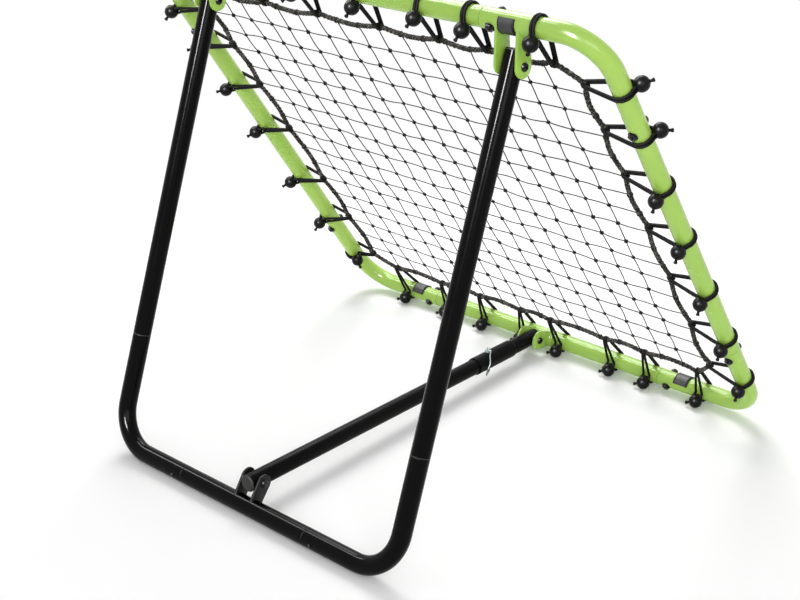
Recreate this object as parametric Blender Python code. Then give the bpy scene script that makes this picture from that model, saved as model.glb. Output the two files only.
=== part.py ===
"""Multisport rebounder: a tilted square net frame held up by folding U-shaped legs.

The playing face looks towards -Y and the legs stand behind it, towards +Y.
All sizes are in metres. The net frame, the legs and the strut are each built
flat in their own plane, which an empty then tilts to its place.
"""
import bpy
import bmesh
from math import acos, atan2, ceil, cos, degrees, hypot, pi, radians, sin
from mathutils import Vector

# Net frame: square of round tube, leaning back
FRAME_SIDE = 1.000
TUBE_DIA = 0.032
TUBE_WALL = 0.0015
FRAME_LEAN = radians(34.0)
FRAME_BEND_RADIUS = 0.070
FRAME_SEAM_REACH = 0.205
FRAME_BOLT_SETBACK = 0.020

# Spigots: the reduced ends of the straight tubes, pushed into the corner tubes
SPIGOT_LENGTH = 0.050
SPIGOT_CLEARANCE = 0.0004
SHOULDER_LENGTH = 0.002
MESH_GAP = 0.0003

# Leg frame
LEG_LEAN = radians(20.7)
LEG_SPACING = 0.660
LEG_OVERRUN = 0.021
LEG_BEND_RADIUS = 0.075
LEG_SEAM_REACH = 0.200
FOOT_SEAM_REACH = 0.182
SNAP_SETBACK = 0.020

# Hinges between the net frame and the legs, placed from the top bar's centre
HINGE_DROP = 0.052
HINGE_BACK = 0.034
EAR_THICKNESS = 0.004
EAR_SIDE_GAP = 0.0015
HINGE_EAR_RADIUS = 0.018
EAR_SEAT_ANGLE = radians(72.0)
PIVOT_BOLT_DIA = 0.008
PIVOT_HEAD_DIA = 0.014
PIVOT_HEAD_HEIGHT = 0.0045

# Strut between the two bottom bars
STRUT_DIA = 0.030
STRUT_WALL = 0.0012
STRUT_NECK_OVERRUN = 0.012
STRUT_NECK_LENGTH = 0.066
STRUT_SOCKET_DIA = 0.034
STRUT_SOCKET_END = 0.179
STRUT_TUBE_START = 0.085
STRUT_TUBE_OVERRUN = 0.018
STRUT_EAR_GAP = 0.002
FRONT_PIVOT_UP = 0.035
FRONT_PIVOT_BACK = 0.031
FRONT_EAR_RADIUS = 0.019
FRONT_SADDLE_WIDTH = 0.060
FRONT_SADDLE_WALL = 0.0025
FRONT_SADDLE_SPREAD = radians(150.0)
REAR_PIVOT_UP = 0.044
REAR_PIVOT_BACK = -0.013
REAR_EAR_RADIUS = 0.015
PIVOT_STUB_LENGTH = 0.0015

# Lock pin with its wire bail
LOCK_PIN_REACH = 0.137
LOCK_PIN_DIA = 0.006
LOCK_PIN_TIP = 0.008
LOCK_HEAD_DIA = 0.013
LOCK_HEAD_HEIGHT = 0.003
LOCK_EYE_DIA = 0.008
LOCK_EYE_WIDTH = 0.003
BAIL_WIRE_DIA = 0.0026

# Frame bolts and pads
FRAME_BOLT_DIA = 0.006
BOLT_CAP_DIA = 0.0145
BOLT_CAP_HEIGHT = 0.0055
BOLT_NUT_DIA = 0.013
BOLT_NUT_HEIGHT = 0.004
BOLT_CLEARANCE = 0.0003
PAD_WIDTH = 0.030
PAD_THICKNESS = 0.0025
TOP_PAD_CENTRE = radians(67.0)
TOP_PAD_SPREAD = radians(180.0)
BOTTOM_PAD_SPREAD = radians(150.0)

# Spring buttons in the leg joints
BUTTON_DIA = 0.006
BUTTON_PROUD = 0.003
BUTTON_FLANGE_DIA = 0.009
BUTTON_FLANGE_HEIGHT = 0.001
BUTTON_TRAVEL = 0.0035
SPRING_STRIP = 0.0008
SPRING_WIDTH = 0.007
SPRING_LENGTH = 0.026

# Tube caps
CAP_DOME = 0.003
CAP_PLUG_LENGTH = 0.010

# Net, edge rope, elastic loops and balls
NET_PITCH = 0.047
NET_CELLS = 17
TWINE_DIA = 0.0018
ROPE_DIA = 0.007
CORD_DIA = 0.005
BALL_DIA = 0.025
ROPE_INSET_TOP = 0.074
ROPE_INSET_SIDE = 0.066
ROPE_INSET_BOTTOM = 0.074
ROPE_SAG = 0.010
LOOP_BITE = 0.0007
CORD_END_GAP = 0.0013
WELD_DEPTH = 0.0007
LOOP_BAR_GAP = 0.0006
BALL_MOUTH = radians(33.0)
BALL_END_DRIFT = 0.12
LOOP_DRIFT = 0.35
ROPE_TURN_SHARE = 0.9

# Loops as (place along the bar where the loop holds the rope, place of its ball, ball's angle
# round the bar from the net side towards the back)
TOP_LOOPS = (
    (0.362, 0.370, 88.0),
    (0.235, 0.228, 88.0),
    (0.109, 0.103, 88.0),
    (-0.030, -0.031, 84.0),
    (-0.155, -0.161, 92.0),
    (-0.251, -0.252, 80.0),
    (-0.375, -0.379, 82.0),
)
BOTTOM_LOOPS = (
    (0.363, 0.356),
    (0.237, 0.245),
    (0.135, 0.144),
    (0.030, 0.0445),
    (-0.0445, -0.048),
    (-0.177, -0.175),
    (-0.265, -0.256),
    (-0.382, -0.372),
)
LEFT_LOOPS = (
    (0.844, 0.841, 120.0),
    (0.749, 0.746, 118.0),
    (0.640, 0.631, 118.0),
    (0.514, 0.507, 116.0),
    (0.357, 0.349, 118.0),
    (0.233, 0.218, 102.0),
    (0.105, 0.085, 40.0),
)
RIGHT_LOOPS = (
    (0.861, 0.866, 218.0),
    (0.762, 0.766, 218.0),
    (0.655, 0.648, 98.0),
    (0.521, 0.519, 100.0),
    (0.384, 0.376, 98.0),
    (0.245, 0.237, 100.0),
    (0.115, 0.106, 100.0),
)

# Facets
TUBE_SIDES = 12
BEND_STEPS = 5
BOLT_SIDES = 8
BALL_SIDES = 8
BALL_RINGS = 4
CORD_SIDES = 5
ROPE_SIDES = 6
WRAP_STEP = radians(44.0)
EAR_STEPS = 7
SEAT_STEPS = 5

# Worked out from the sizes above
TUBE_RADIUS = TUBE_DIA / 2
FLAT_RADIUS = TUBE_RADIUS * cos(pi / TUBE_SIDES)
BORE_RADIUS = TUBE_RADIUS - TUBE_WALL
SPIGOT_RADIUS = BORE_RADIUS - SPIGOT_CLEARANCE
SPIGOT_BORE = SPIGOT_RADIUS - TUBE_WALL
HALF_SIDE = (FRAME_SIDE - TUBE_DIA) / 2
TOP_BAR = 2 * HALF_SIDE
CORD_RADIUS = CORD_DIA / 2
ROPE_RADIUS = ROPE_DIA / 2
BALL_RADIUS = BALL_DIA / 2
LEG_X = LEG_SPACING / 2
FLAT_PHASE = pi / 2 + pi / TUBE_SIDES
LOOP_WRAP = TUBE_RADIUS + LOOP_BAR_GAP + CORD_RADIUS
LOOP_REACH = LOOP_WRAP / cos(WRAP_STEP / 2) + CORD_RADIUS
FRAME_RISE = LOOP_REACH + MESH_GAP
SEAM_X = HALF_SIDE - FRAME_SEAM_REACH
BOLT_X = SEAM_X + FRAME_BOLT_SETBACK
BALL_SEAT = TUBE_RADIUS + MESH_GAP + BALL_RADIUS

HINGE_UP = TOP_BAR - HINGE_DROP
HINGE_Y = HINGE_BACK * cos(FRAME_LEAN) + HINGE_UP * sin(FRAME_LEAN)
HINGE_Z = FRAME_RISE - HINGE_BACK * sin(FRAME_LEAN) + HINGE_UP * cos(FRAME_LEAN)
LEG_LENGTH = (HINGE_Z - FLAT_RADIUS) / cos(LEG_LEAN)
FOOT_Y = HINGE_Y + LEG_LENGTH * sin(LEG_LEAN)

FRONT_PIVOT_Y = FRONT_PIVOT_BACK * cos(FRAME_LEAN) + FRONT_PIVOT_UP * sin(FRAME_LEAN)
FRONT_PIVOT_Z = FRAME_RISE - FRONT_PIVOT_BACK * sin(FRAME_LEAN) + FRONT_PIVOT_UP * cos(FRAME_LEAN)
REAR_PIVOT_Y = FOOT_Y - REAR_PIVOT_UP * sin(LEG_LEAN) + REAR_PIVOT_BACK * cos(LEG_LEAN)
REAR_PIVOT_Z = FLAT_RADIUS + REAR_PIVOT_UP * cos(LEG_LEAN) + REAR_PIVOT_BACK * sin(LEG_LEAN)
STRUT_RISE = atan2(REAR_PIVOT_Z - FRONT_PIVOT_Z, REAR_PIVOT_Y - FRONT_PIVOT_Y)
STRUT_SPAN = hypot(REAR_PIVOT_Z - FRONT_PIVOT_Z, REAR_PIVOT_Y - FRONT_PIVOT_Y)

DEPTH_SHIFT = -(FOOT_Y + TUBE_RADIUS + BUTTON_PROUD - LOOP_REACH) / 2

ROPE_INSETS = {"top": ROPE_INSET_TOP, "bottom": ROPE_INSET_BOTTOM,
               "left": ROPE_INSET_SIDE, "right": ROPE_INSET_SIDE}

X = Vector((1, 0, 0))
Y = Vector((0, 1, 0))
Z = Vector((0, 0, 1))


def clear_scene():
    for item in list(bpy.data.objects):
        bpy.data.objects.remove(item, do_unlink=True)


def finish(name, colour, roughness, metallic=0.0):
    material = bpy.data.materials.new(name)
    material.use_nodes = True
    shader = material.node_tree.nodes["Principled BSDF"]
    shader.inputs["Base Color"].default_value = (*colour, 1.0)
    shader.inputs["Roughness"].default_value = roughness
    shader.inputs["Metallic"].default_value = metallic
    material.diffuse_color = (*colour, 1.0)
    return material


def empty(name, parent=None, location=(0, 0, 0), turn=0.0):
    item = bpy.data.objects.new(name, None)
    bpy.context.scene.collection.objects.link(item)
    item.parent = parent
    item.location = location
    item.rotation_euler = (turn, 0, 0)
    return item


def part(name, bm, material, parent, location=(0, 0, 0)):
    bmesh.ops.recalc_face_normals(bm, faces=bm.faces)
    mesh = bpy.data.meshes.new(name)
    bm.to_mesh(mesh)
    bm.free()
    mesh.materials.append(material)
    mesh.shade_smooth()
    mesh.set_sharp_from_angle(angle=radians(38.0))
    item = bpy.data.objects.new(name, mesh)
    bpy.context.scene.collection.objects.link(item)
    item.parent = parent
    item.location = location
    return item


def guide(name, bm, material, parent, location=(0, 0, 0)):
    item = part(name, bm, material, parent, location)
    item.hide_render = True
    item.display_type = "WIRE"
    return item


def boolean(item, tool, operation="DIFFERENCE"):
    modifier = item.modifiers.new(tool.name, "BOOLEAN")
    modifier.operation = operation
    modifier.solver = "EXACT"
    modifier.object = tool


def polar(centre, along, across, radius, angle):
    return centre + along * (radius * cos(angle)) + across * (radius * sin(angle))


def ring(bm, centre, along, across, radius, sides, phase=0.0):
    turn = 2 * pi / sides
    return [bm.verts.new(polar(centre, along, across, radius, phase + turn * k)) for k in range(sides)]


def skin(bm, first, second):
    count = len(first)
    for k in range(count):
        bm.faces.new((first[k], first[(k + 1) % count], second[(k + 1) % count], second[k]))


def shell(bm, outer, inner, phase=0.0, sides=TUBE_SIDES):
    """A pipe from two lists of stations, each (centre, along, across, radius)."""
    walls = []
    for stations in (outer, inner):
        rings = [ring(bm, *station, sides, phase) for station in stations]
        for first, second in zip(rings, rings[1:]):
            skin(bm, first, second)
        walls.append(rings)
    skin(bm, walls[0][0], walls[1][0])
    skin(bm, walls[0][-1], walls[1][-1])


def turned(bm, centre, axis, across, profile, sides, phase=0.0):
    """A solid turned round an axis; the profile is (place along the axis, radius), with no bore."""
    side = axis.cross(across)
    previous = None
    for place, radius in profile:
        middle = centre + axis * place
        if radius > 0:
            current = ring(bm, middle, across, side, radius, sides, phase)
        else:
            current = [bm.verts.new(middle)]
        if previous is not None:
            join_rings(bm, previous, current)
        previous = current


def join_rings(bm, first, second):
    if len(first) == len(second):
        skin(bm, first, second)
        return
    loop, tip = (first, second[0]) if len(second) == 1 else (second, first[0])
    for k in range(len(loop)):
        bm.faces.new((loop[k], loop[(k + 1) % len(loop)], tip))


def rod(bm, centre, axis, across, start, end, radius, sides=BOLT_SIDES, phase=0.0):
    side = axis.cross(across)
    first = ring(bm, centre + axis * start, across, side, radius, sides, phase)
    second = ring(bm, centre + axis * end, across, side, radius, sides, phase)
    skin(bm, first, second)
    bm.faces.new(first)
    bm.faces.new(second)


def hole_radius(shank):
    """A faceted hole that clears its bolt at every turn of the bolt."""
    return (shank + BOLT_CLEARANCE) / cos(pi / BOLT_SIDES)


def plate(bm, outline, thickness, start):
    """A flat plate with its outline in the YZ plane, from start to start + thickness along X."""
    near = [bm.verts.new(point + X * start) for point in outline]
    far = [bm.verts.new(point + X * (start + thickness)) for point in outline]
    skin(bm, near, far)
    bm.faces.new(near)
    bm.faces.new(far)


def ear_outline(seat_radius, pivot, tip_radius, seat_angle=EAR_SEAT_ANGLE):
    """Rounded tip about the pivot, straight flanks, and a hollow seat on a bar at the origin."""
    aim = atan2(pivot.z, pivot.y)
    points = []
    for k in range(EAR_STEPS + 1):
        angle = aim - pi / 2 + pi * k / EAR_STEPS
        points.append(polar(pivot, Y, Z, tip_radius, angle))
    clear_radius = seat_radius / cos(seat_angle / SEAT_STEPS)
    for k in range(SEAT_STEPS + 1):
        angle = aim + seat_angle - 2 * seat_angle * k / SEAT_STEPS
        points.append(polar(Vector((0, 0, 0)), Y, Z, clear_radius, angle))
    return points


def sleeve(bm, width, start, radius, wall, centre_angle, spread, origin=Vector((0, 0, 0)), steps=6):
    """Part of a ring round the bar, with its angles in the YZ plane."""
    low = centre_angle - spread / 2
    clear_radius = radius / cos(spread / steps / 2)
    outline = []
    for k in range(steps + 1):
        outline.append(polar(origin, Y, Z, clear_radius + wall, low + spread * k / steps))
    for k in range(steps + 1):
        outline.append(polar(origin, Y, Z, clear_radius, low + spread * (steps - k) / steps))
    plate(bm, outline, width, start)


def cord(bm, points, radius, sides, closed=False):
    """A cord along points, its section carried from one to the next without a twist."""
    count = len(points)
    rings = []
    normal = None
    for k, point in enumerate(points):
        before = points[k - 1] if closed or k > 0 else point
        after = points[(k + 1) % count] if closed or k < count - 1 else point
        tangent = (after - before).normalized()
        if normal is None:
            normal = tangent.cross(Y)
            if normal.length < 0.1:
                normal = tangent.cross(X)
        normal = (normal - tangent * normal.dot(tangent)).normalized()
        rings.append(ring(bm, point, normal, tangent.cross(normal), radius, sides))
    for first, second in zip(rings, rings[1:]):
        skin(bm, first, second)
    if closed:
        skin(bm, rings[-1], rings[0])
    else:
        bm.faces.new(rings[0])
        bm.faces.new(rings[-1])


def corner_stations(corner, first, second, first_reach, second_reach, bend, side, radius):
    """Stations round a bent corner, from the end of one arm to the end of the other."""
    stations = [(corner + first * first_reach, -second, side, radius)]
    centre = corner + (first + second) * bend
    for k in range(BEND_STEPS + 1):
        angle = pi / 2 * k / BEND_STEPS
        outward = -(second * cos(angle) + first * sin(angle))
        stations.append((centre + outward * bend, outward, side, radius))
    stations.append((corner + second * second_reach, -first, side, radius))
    return stations


def corner_tube(name, corner, first, second, reaches, bend, side, phase, material, parent):
    bm = bmesh.new()
    outer = corner_stations(corner, first, second, *reaches, bend, side, TUBE_RADIUS)
    inner = corner_stations(corner, first, second, *reaches, bend, side, BORE_RADIUS)
    shell(bm, outer, inner, phase)
    return part(name, bm, material, parent)


def spigot_profile(start, end, start_spigot=True, end_spigot=True):
    """Radii along a straight tube between two seams, with a reduced end past each seam."""
    outer = []
    inner = []
    if start_spigot:
        outer += [(start - SPIGOT_LENGTH, SPIGOT_RADIUS), (start, SPIGOT_RADIUS), (start, TUBE_RADIUS)]
        inner += [(start - SPIGOT_LENGTH, SPIGOT_BORE), (start, SPIGOT_BORE)]
        inner += [(start + SHOULDER_LENGTH, BORE_RADIUS)]
    else:
        outer += [(start, TUBE_RADIUS)]
        inner += [(start, BORE_RADIUS)]
    if end_spigot:
        outer += [(end, TUBE_RADIUS), (end, SPIGOT_RADIUS), (end + SPIGOT_LENGTH, SPIGOT_RADIUS)]
        inner += [(end - SHOULDER_LENGTH, BORE_RADIUS), (end, SPIGOT_BORE)]
        inner += [(end + SPIGOT_LENGTH, SPIGOT_BORE)]
    else:
        outer += [(end, TUBE_RADIUS)]
        inner += [(end, BORE_RADIUS)]
    return outer, inner


def straight_tube(name, origin, axis, along, across, profiles, phase, material, parent):
    bm = bmesh.new()
    walls = []
    for profile in profiles:
        walls.append([(origin + axis * place, along, across, radius) for place, radius in profile])
    shell(bm, *walls, phase)
    return part(name, bm, material, parent)


def build_net_frame(frame, green):
    """Four corner tubes and four straight tubes, with a facet of each facing back and front."""
    reach = FRAME_SEAM_REACH - MESH_GAP / 2
    tubes = []
    for level, up in (("bottom", Z), ("top", -Z)):
        for hand, inward in (("left", -X), ("right", X)):
            height = 0.0 if level == "bottom" else TOP_BAR
            corner = -inward * HALF_SIDE + Z * height
            tubes.append(corner_tube(
                f"frame_corner_{level}_{hand}", corner, inward, up, (reach, reach),
                FRAME_BEND_RADIUS, Y, FLAT_PHASE, green, frame))
    half = SEAM_X - MESH_GAP / 2
    profiles = spigot_profile(-half, half)
    for name, origin, axis, outward in (
        ("frame_tube_bottom", Vector((0, 0, 0)), X, -Z),
        ("frame_tube_top", Z * TOP_BAR, X, Z),
        ("frame_tube_left", X * HALF_SIDE + Z * HALF_SIDE, Z, X),
        ("frame_tube_right", -X * HALF_SIDE + Z * HALF_SIDE, Z, -X),
    ):
        tubes.append(straight_tube(name, origin, axis, outward, Y, profiles, FLAT_PHASE, green, frame))
    return tubes


def frame_bolt_places():
    places = []
    for hand, side in (("left", 1), ("right", -1)):
        for level, height, up in (("bottom", 0.0, -1), ("top", TOP_BAR, 1)):
            places.append((f"frame_bolt_{level}_{hand}", X * side * BOLT_X + Z * height))
            upright = X * side * HALF_SIDE + Z * (HALF_SIDE + up * BOLT_X)
            places.append((f"frame_bolt_side_{level}_{hand}", upright))
    return places


def build_frame_bolts(frame, tubes, black):
    """Bolts straight through the frame: a domed cap in front and a low nut behind."""
    seat = FLAT_RADIUS + MESH_GAP
    cap = BOLT_CAP_DIA / 2
    nut = BOLT_NUT_DIA / 2
    shank = FRAME_BOLT_DIA / 2
    profile = (
        (-seat - BOLT_CAP_HEIGHT, 0),
        (-seat - 0.9 * BOLT_CAP_HEIGHT, 0.45 * cap),
        (-seat - 0.45 * BOLT_CAP_HEIGHT, 0.88 * cap),
        (-seat, cap),
        (-seat, shank),
        (seat, shank),
        (seat, nut),
        (seat + BOLT_NUT_HEIGHT, 0.75 * nut),
        (seat + BOLT_NUT_HEIGHT, 0),
    )
    holes = bmesh.new()
    for name, place in frame_bolt_places():
        bolt = bmesh.new()
        turned(bolt, place, Y, X, profile, BOLT_SIDES)
        part(name, bolt, black, frame)
        rod(holes, place, Y, X, -seat - TUBE_WALL, seat + TUBE_WALL, hole_radius(shank))
    tool = guide("frame_bolt_holes", holes, black, frame)
    for tube in tubes:
        boolean(tube, tool)


def pivot_bolt(bm, centre, half_width, shank):
    """A bolt along X with a domed head outside each ear."""
    seat = half_width + MESH_GAP
    head = PIVOT_HEAD_DIA / 2
    profile = (
        (-seat - PIVOT_HEAD_HEIGHT, 0),
        (-seat - 0.75 * PIVOT_HEAD_HEIGHT, 0.7 * head),
        (-seat, head),
        (-seat, shank),
        (seat, shank),
        (seat, head),
        (seat + 0.75 * PIVOT_HEAD_HEIGHT, 0.7 * head),
        (seat + PIVOT_HEAD_HEIGHT, 0),
    )
    turned(bm, centre, X, Y, profile, BOLT_SIDES)


def build_hinges(frame, leg_tubes, green, black):
    """Two pairs of ears on the top bar, and the bolts that the legs swing on."""
    ear_inner = TUBE_RADIUS + EAR_SIDE_GAP
    pivot = Y * HINGE_BACK - Z * HINGE_DROP
    outline = ear_outline(TUBE_RADIUS + MESH_GAP, pivot, HINGE_EAR_RADIUS)
    outline = [point + Z * TOP_BAR for point in outline]
    shank = PIVOT_BOLT_DIA / 2
    holes = bmesh.new()
    ears = []
    for hand, place in (("left", LEG_X), ("right", -LEG_X)):
        for end, start in (("plus", place + ear_inner), ("minus", place - ear_inner - EAR_THICKNESS)):
            ear = bmesh.new()
            plate(ear, outline, EAR_THICKNESS, start)
            away = "outer" if (end == "plus") == (place > 0) else "inner"
            ears.append(part(f"hinge_ear_{away}_{hand}", ear, green, frame))
        centre = X * place + Y * HINGE_BACK + Z * HINGE_UP
        bolt = bmesh.new()
        pivot_bolt(bolt, centre, ear_inner + EAR_THICKNESS, shank)
        part(f"hinge_bolt_{hand}", bolt, black, frame)
        rod(holes, centre, X, Y, -2 * TUBE_RADIUS, 2 * TUBE_RADIUS, hole_radius(shank))
    tool = guide("hinge_bolt_holes", holes, black, frame)
    for item in (*ears, leg_tubes["left"]["tube"], leg_tubes["right"]["tube"]):
        boolean(item, tool)


def build_pads(frame, rubber):
    """Half sleeves on the bars in line with the legs."""
    for level, height, angle, spread in (
        ("top", TOP_BAR, TOP_PAD_CENTRE - pi / 2, TOP_PAD_SPREAD),
        ("bottom", 0.0, pi / 2 + FRAME_LEAN, BOTTOM_PAD_SPREAD),
    ):
        for hand, place in (("left", LEG_X), ("right", -LEG_X)):
            pad = bmesh.new()
            sleeve(pad, PAD_WIDTH, place - PAD_WIDTH / 2, TUBE_RADIUS + MESH_GAP, PAD_THICKNESS,
                   angle, spread, Z * height)
            part(f"{level}_pad_{hand}", pad, rubber, frame)


def build_strut_bracket_front(frame, green, black):
    """Two round ears on a half sleeve that saddles the bottom bar, and their bolt."""
    pivot = Y * FRONT_PIVOT_BACK + Z * FRONT_PIVOT_UP
    aim = atan2(pivot.z, pivot.y)
    ear_inner = STRUT_DIA / 2 + STRUT_EAR_GAP
    seat = TUBE_RADIUS + MESH_GAP
    saddle = bmesh.new()
    sleeve(saddle, FRONT_SADDLE_WIDTH, -FRONT_SADDLE_WIDTH / 2, seat, FRONT_SADDLE_WALL,
           aim, FRONT_SADDLE_SPREAD)
    bracket = part("strut_bracket_front", saddle, green, frame)
    ears = bmesh.new()
    outline = ear_outline(seat + FRONT_SADDLE_WALL / 2, pivot, FRONT_EAR_RADIUS, radians(60.0))
    plate(ears, outline, EAR_THICKNESS, ear_inner)
    plate(ears, outline, EAR_THICKNESS, -ear_inner - EAR_THICKNESS)
    boolean(bracket, guide("strut_ears_front", ears, green, frame), "UNION")
    bolt = bmesh.new()
    pivot_bolt(bolt, pivot, ear_inner + EAR_THICKNESS, PIVOT_BOLT_DIA / 2)
    part("strut_bolt_front", bolt, black, frame)
    hole = bmesh.new()
    rod(hole, pivot, X, Y, -2 * ear_inner, 2 * ear_inner, hole_radius(PIVOT_BOLT_DIA / 2))
    tool = guide("strut_bolt_hole_front", hole, black, frame)
    boolean(bracket, tool)
    return tool


def bar_place(side, along, inset=0.0, back=0.0):
    """A point by a frame bar: its place along the bar, towards the net, and towards the back."""
    if side == "top":
        return Vector((along, back, TOP_BAR - inset))
    if side == "bottom":
        return Vector((along, back, inset))
    if side == "left":
        return Vector((HALF_SIDE - inset, back, along))
    return Vector((-HALF_SIDE + inset, back, along))


def floor_ball_angle():
    """The angle round the bottom bar at which a ball on its seat also touches the floor."""
    drop = FRAME_RISE - BALL_RADIUS
    below = atan2(drop, (BALL_SEAT ** 2 - drop ** 2) ** 0.5)
    return pi / 2 - FRAME_LEAN + below


def loops_by_side():
    floor_angle = degrees(floor_ball_angle())
    bottom = tuple((hold, ball, floor_angle) for hold, ball in BOTTOM_LOOPS)
    return {"top": TOP_LOOPS, "right": RIGHT_LOOPS, "bottom": bottom, "left": LEFT_LOOPS}


def rope_route(loops):
    """Round the net: drawn out to each loop, and slack towards the net between two loops."""
    route = []
    for side, step in (("top", 1), ("right", 1), ("bottom", -1), ("left", -1)):
        holds = [hold for hold, _, _ in loops[side]][::step]
        inset = ROPE_INSETS[side]
        for k, hold in enumerate(holds):
            route.append(bar_place(side, hold, inset))
            if k + 1 < len(holds):
                route.append(bar_place(side, (hold + holds[k + 1]) / 2, inset + ROPE_SAG))
    return route


def rope_inset_at(side, along, loops):
    """How far in from the bar the rope's centre line lies, at a place along that bar."""
    holds = sorted(hold for hold, _, _ in loops[side])
    for low, high in zip(holds, holds[1:]):
        if low <= along <= high:
            share = (along - low) / (high - low)
            return ROPE_INSETS[side] + ROPE_SAG * (1 - abs(2 * share - 1))
    return ROPE_INSETS[side]


def build_net(frame, loops, twine):
    """Square net whose strands cross at knots and end on the edge rope."""
    lines = NET_CELLS - 1
    half = TWINE_DIA / 2
    reach = ROPE_RADIUS + 2 * MESH_GAP
    spots = [(k - (lines - 1) / 2) * NET_PITCH for k in range(lines)]
    nodes = {}
    for column, across in enumerate(spots):
        for row, up in enumerate(spots):
            nodes[column, row] = Vector((across, 0, HALF_SIDE + up))
        nodes[column, -1] = bar_place("bottom", across, rope_inset_at("bottom", across, loops) + reach)
        nodes[column, lines] = bar_place("top", across, rope_inset_at("top", across, loops) + reach)
    for row, up in enumerate(spots):
        height = HALF_SIDE + up
        nodes[-1, row] = bar_place("right", height, rope_inset_at("right", height, loops) + reach)
        nodes[lines, row] = bar_place("left", height, rope_inset_at("left", height, loops) + reach)
    ways = ((1, 0), (0, 1), (-1, 0), (0, -1))
    bm = bmesh.new()
    ridge = {}
    flank = {}
    for key, point in nodes.items():
        ridge[key] = bm.verts.new(point - Y * half)
        for k, way in enumerate(ways):
            following = ways[(k + 1) % 4]
            sideways = Vector((following[0], 0, following[1])) * half
            if in_net(key, lines):
                onward = Vector((way[0], 0, way[1])) * half
                flank[key, k] = bm.verts.new(point + onward + sideways + Y * half)
            elif in_net((key[0] + way[0], key[1] + way[1]), lines):
                flank[key, k] = bm.verts.new(point + sideways + Y * half)
                flank[key, (k + 3) % 4] = bm.verts.new(point - sideways + Y * half)
                bm.faces.new((ridge[key], flank[key, k], flank[key, (k + 3) % 4]))
        if in_net(key, lines):
            bm.faces.new([flank[key, k] for k in range(4)])
    for key in nodes:
        for k in (0, 1):
            other = (key[0] + ways[k][0], key[1] + ways[k][1])
            if other not in nodes or not (in_net(key, lines) or in_net(other, lines)):
                continue
            left = (flank[key, k], flank[other, (k + 1) % 4])
            right = (flank[key, (k + 3) % 4], flank[other, (k + 2) % 4])
            bm.faces.new((ridge[key], ridge[other], left[1], left[0]))
            bm.faces.new((ridge[key], ridge[other], right[1], right[0]))
            bm.faces.new((left[0], left[1], right[1], right[0]))
    part("net_mesh", bm, twine, frame)


def in_net(key, lines):
    return 0 <= key[0] < lines and 0 <= key[1] < lines


def loop_points(side, hold, ball, ball_angle, end_reach):
    """One elastic loop: from the ball to the rope, round it, back over the bar and to the ball."""
    distance = ROPE_INSETS[side]
    rope_wrap = ROPE_RADIUS + CORD_RADIUS - LOOP_BITE
    leave = acos((LOOP_WRAP - rope_wrap) / distance)
    angle = radians(ball_angle)

    def on_bar(turn, share, radius):
        along = ball + (hold - ball) * share
        return bar_place(side, along, radius * cos(turn), radius * sin(turn))

    def on_rope(turn):
        return bar_place(side, hold, distance + rope_wrap * cos(turn), rope_wrap * sin(turn))

    def from_ball(turn):
        towards = on_bar(turn, BALL_END_DRIFT, LOOP_WRAP) - on_bar(angle, 0.0, BALL_SEAT)
        start = on_bar(angle, 0.0, BALL_SEAT)
        return start + towards.normalized() * end_reach

    def round_bar(start, wrap):
        steps = ceil(abs(wrap) / WRAP_STEP)
        radius = LOOP_WRAP / cos(wrap / steps / 2)
        return [on_bar(start - wrap * k / steps, LOOP_DRIFT * (1 - k / steps), radius)
                for k in range(steps)]

    back = round_bar(leave, leave - (angle - BALL_MOUTH))[::-1] if angle - BALL_MOUTH > leave else []
    points = [from_ball(angle - BALL_MOUTH), *back]
    turn = leave * ROPE_TURN_SHARE
    points += [on_rope(turn), on_rope(0.0), on_rope(-turn)]
    points += round_bar(-leave, 2 * pi - (angle + BALL_MOUTH) - leave)
    points.append(from_ball(angle + BALL_MOUTH))
    return points


def build_rope_and_loops(frame, loops, rope, plastic):
    """The edge rope with its elastic loops and their balls. Those that touch the floor are apart."""
    down = Y * sin(FRAME_LEAN) - Z * cos(FRAME_LEAN)
    rope_mesh = bmesh.new()
    cord(rope_mesh, rope_route(loops), ROPE_RADIUS, ROPE_SIDES, closed=True)
    whole = part("edge_rope_loops", rope_mesh, rope, frame)
    cords = bmesh.new()
    balls = bmesh.new()
    profile = []
    for k in range(BALL_RINGS + 1):
        lift = pi * k / BALL_RINGS
        radius = BALL_RADIUS * sin(lift) if 0 < k < BALL_RINGS else 0
        profile.append((-BALL_RADIUS * cos(lift), radius))
    for side, entries in loops.items():
        for number, (hold, ball, angle) in enumerate(entries, 1):
            turn = radians(angle)
            centre = bar_place(side, ball, BALL_SEAT * cos(turn), BALL_SEAT * sin(turn))
            apart = side == "bottom"
            end_reach = BALL_RADIUS + CORD_END_GAP if apart else BALL_RADIUS / 2
            cord(cords, loop_points(side, hold, ball, angle, end_reach), CORD_RADIUS, CORD_SIDES)
            if apart:
                floor_ball = bmesh.new()
                turned(floor_ball, centre, down, X, profile, BALL_SIDES)
                part(f"floor_ball_{number}", floor_ball, plastic, frame)
            else:
                turned(balls, centre, down, X, profile, BALL_SIDES)
    boolean(whole, guide("loop_cords", cords, rope, frame), "UNION")
    boolean(whole, guide("loop_balls", balls, plastic, frame), "UNION")


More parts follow.
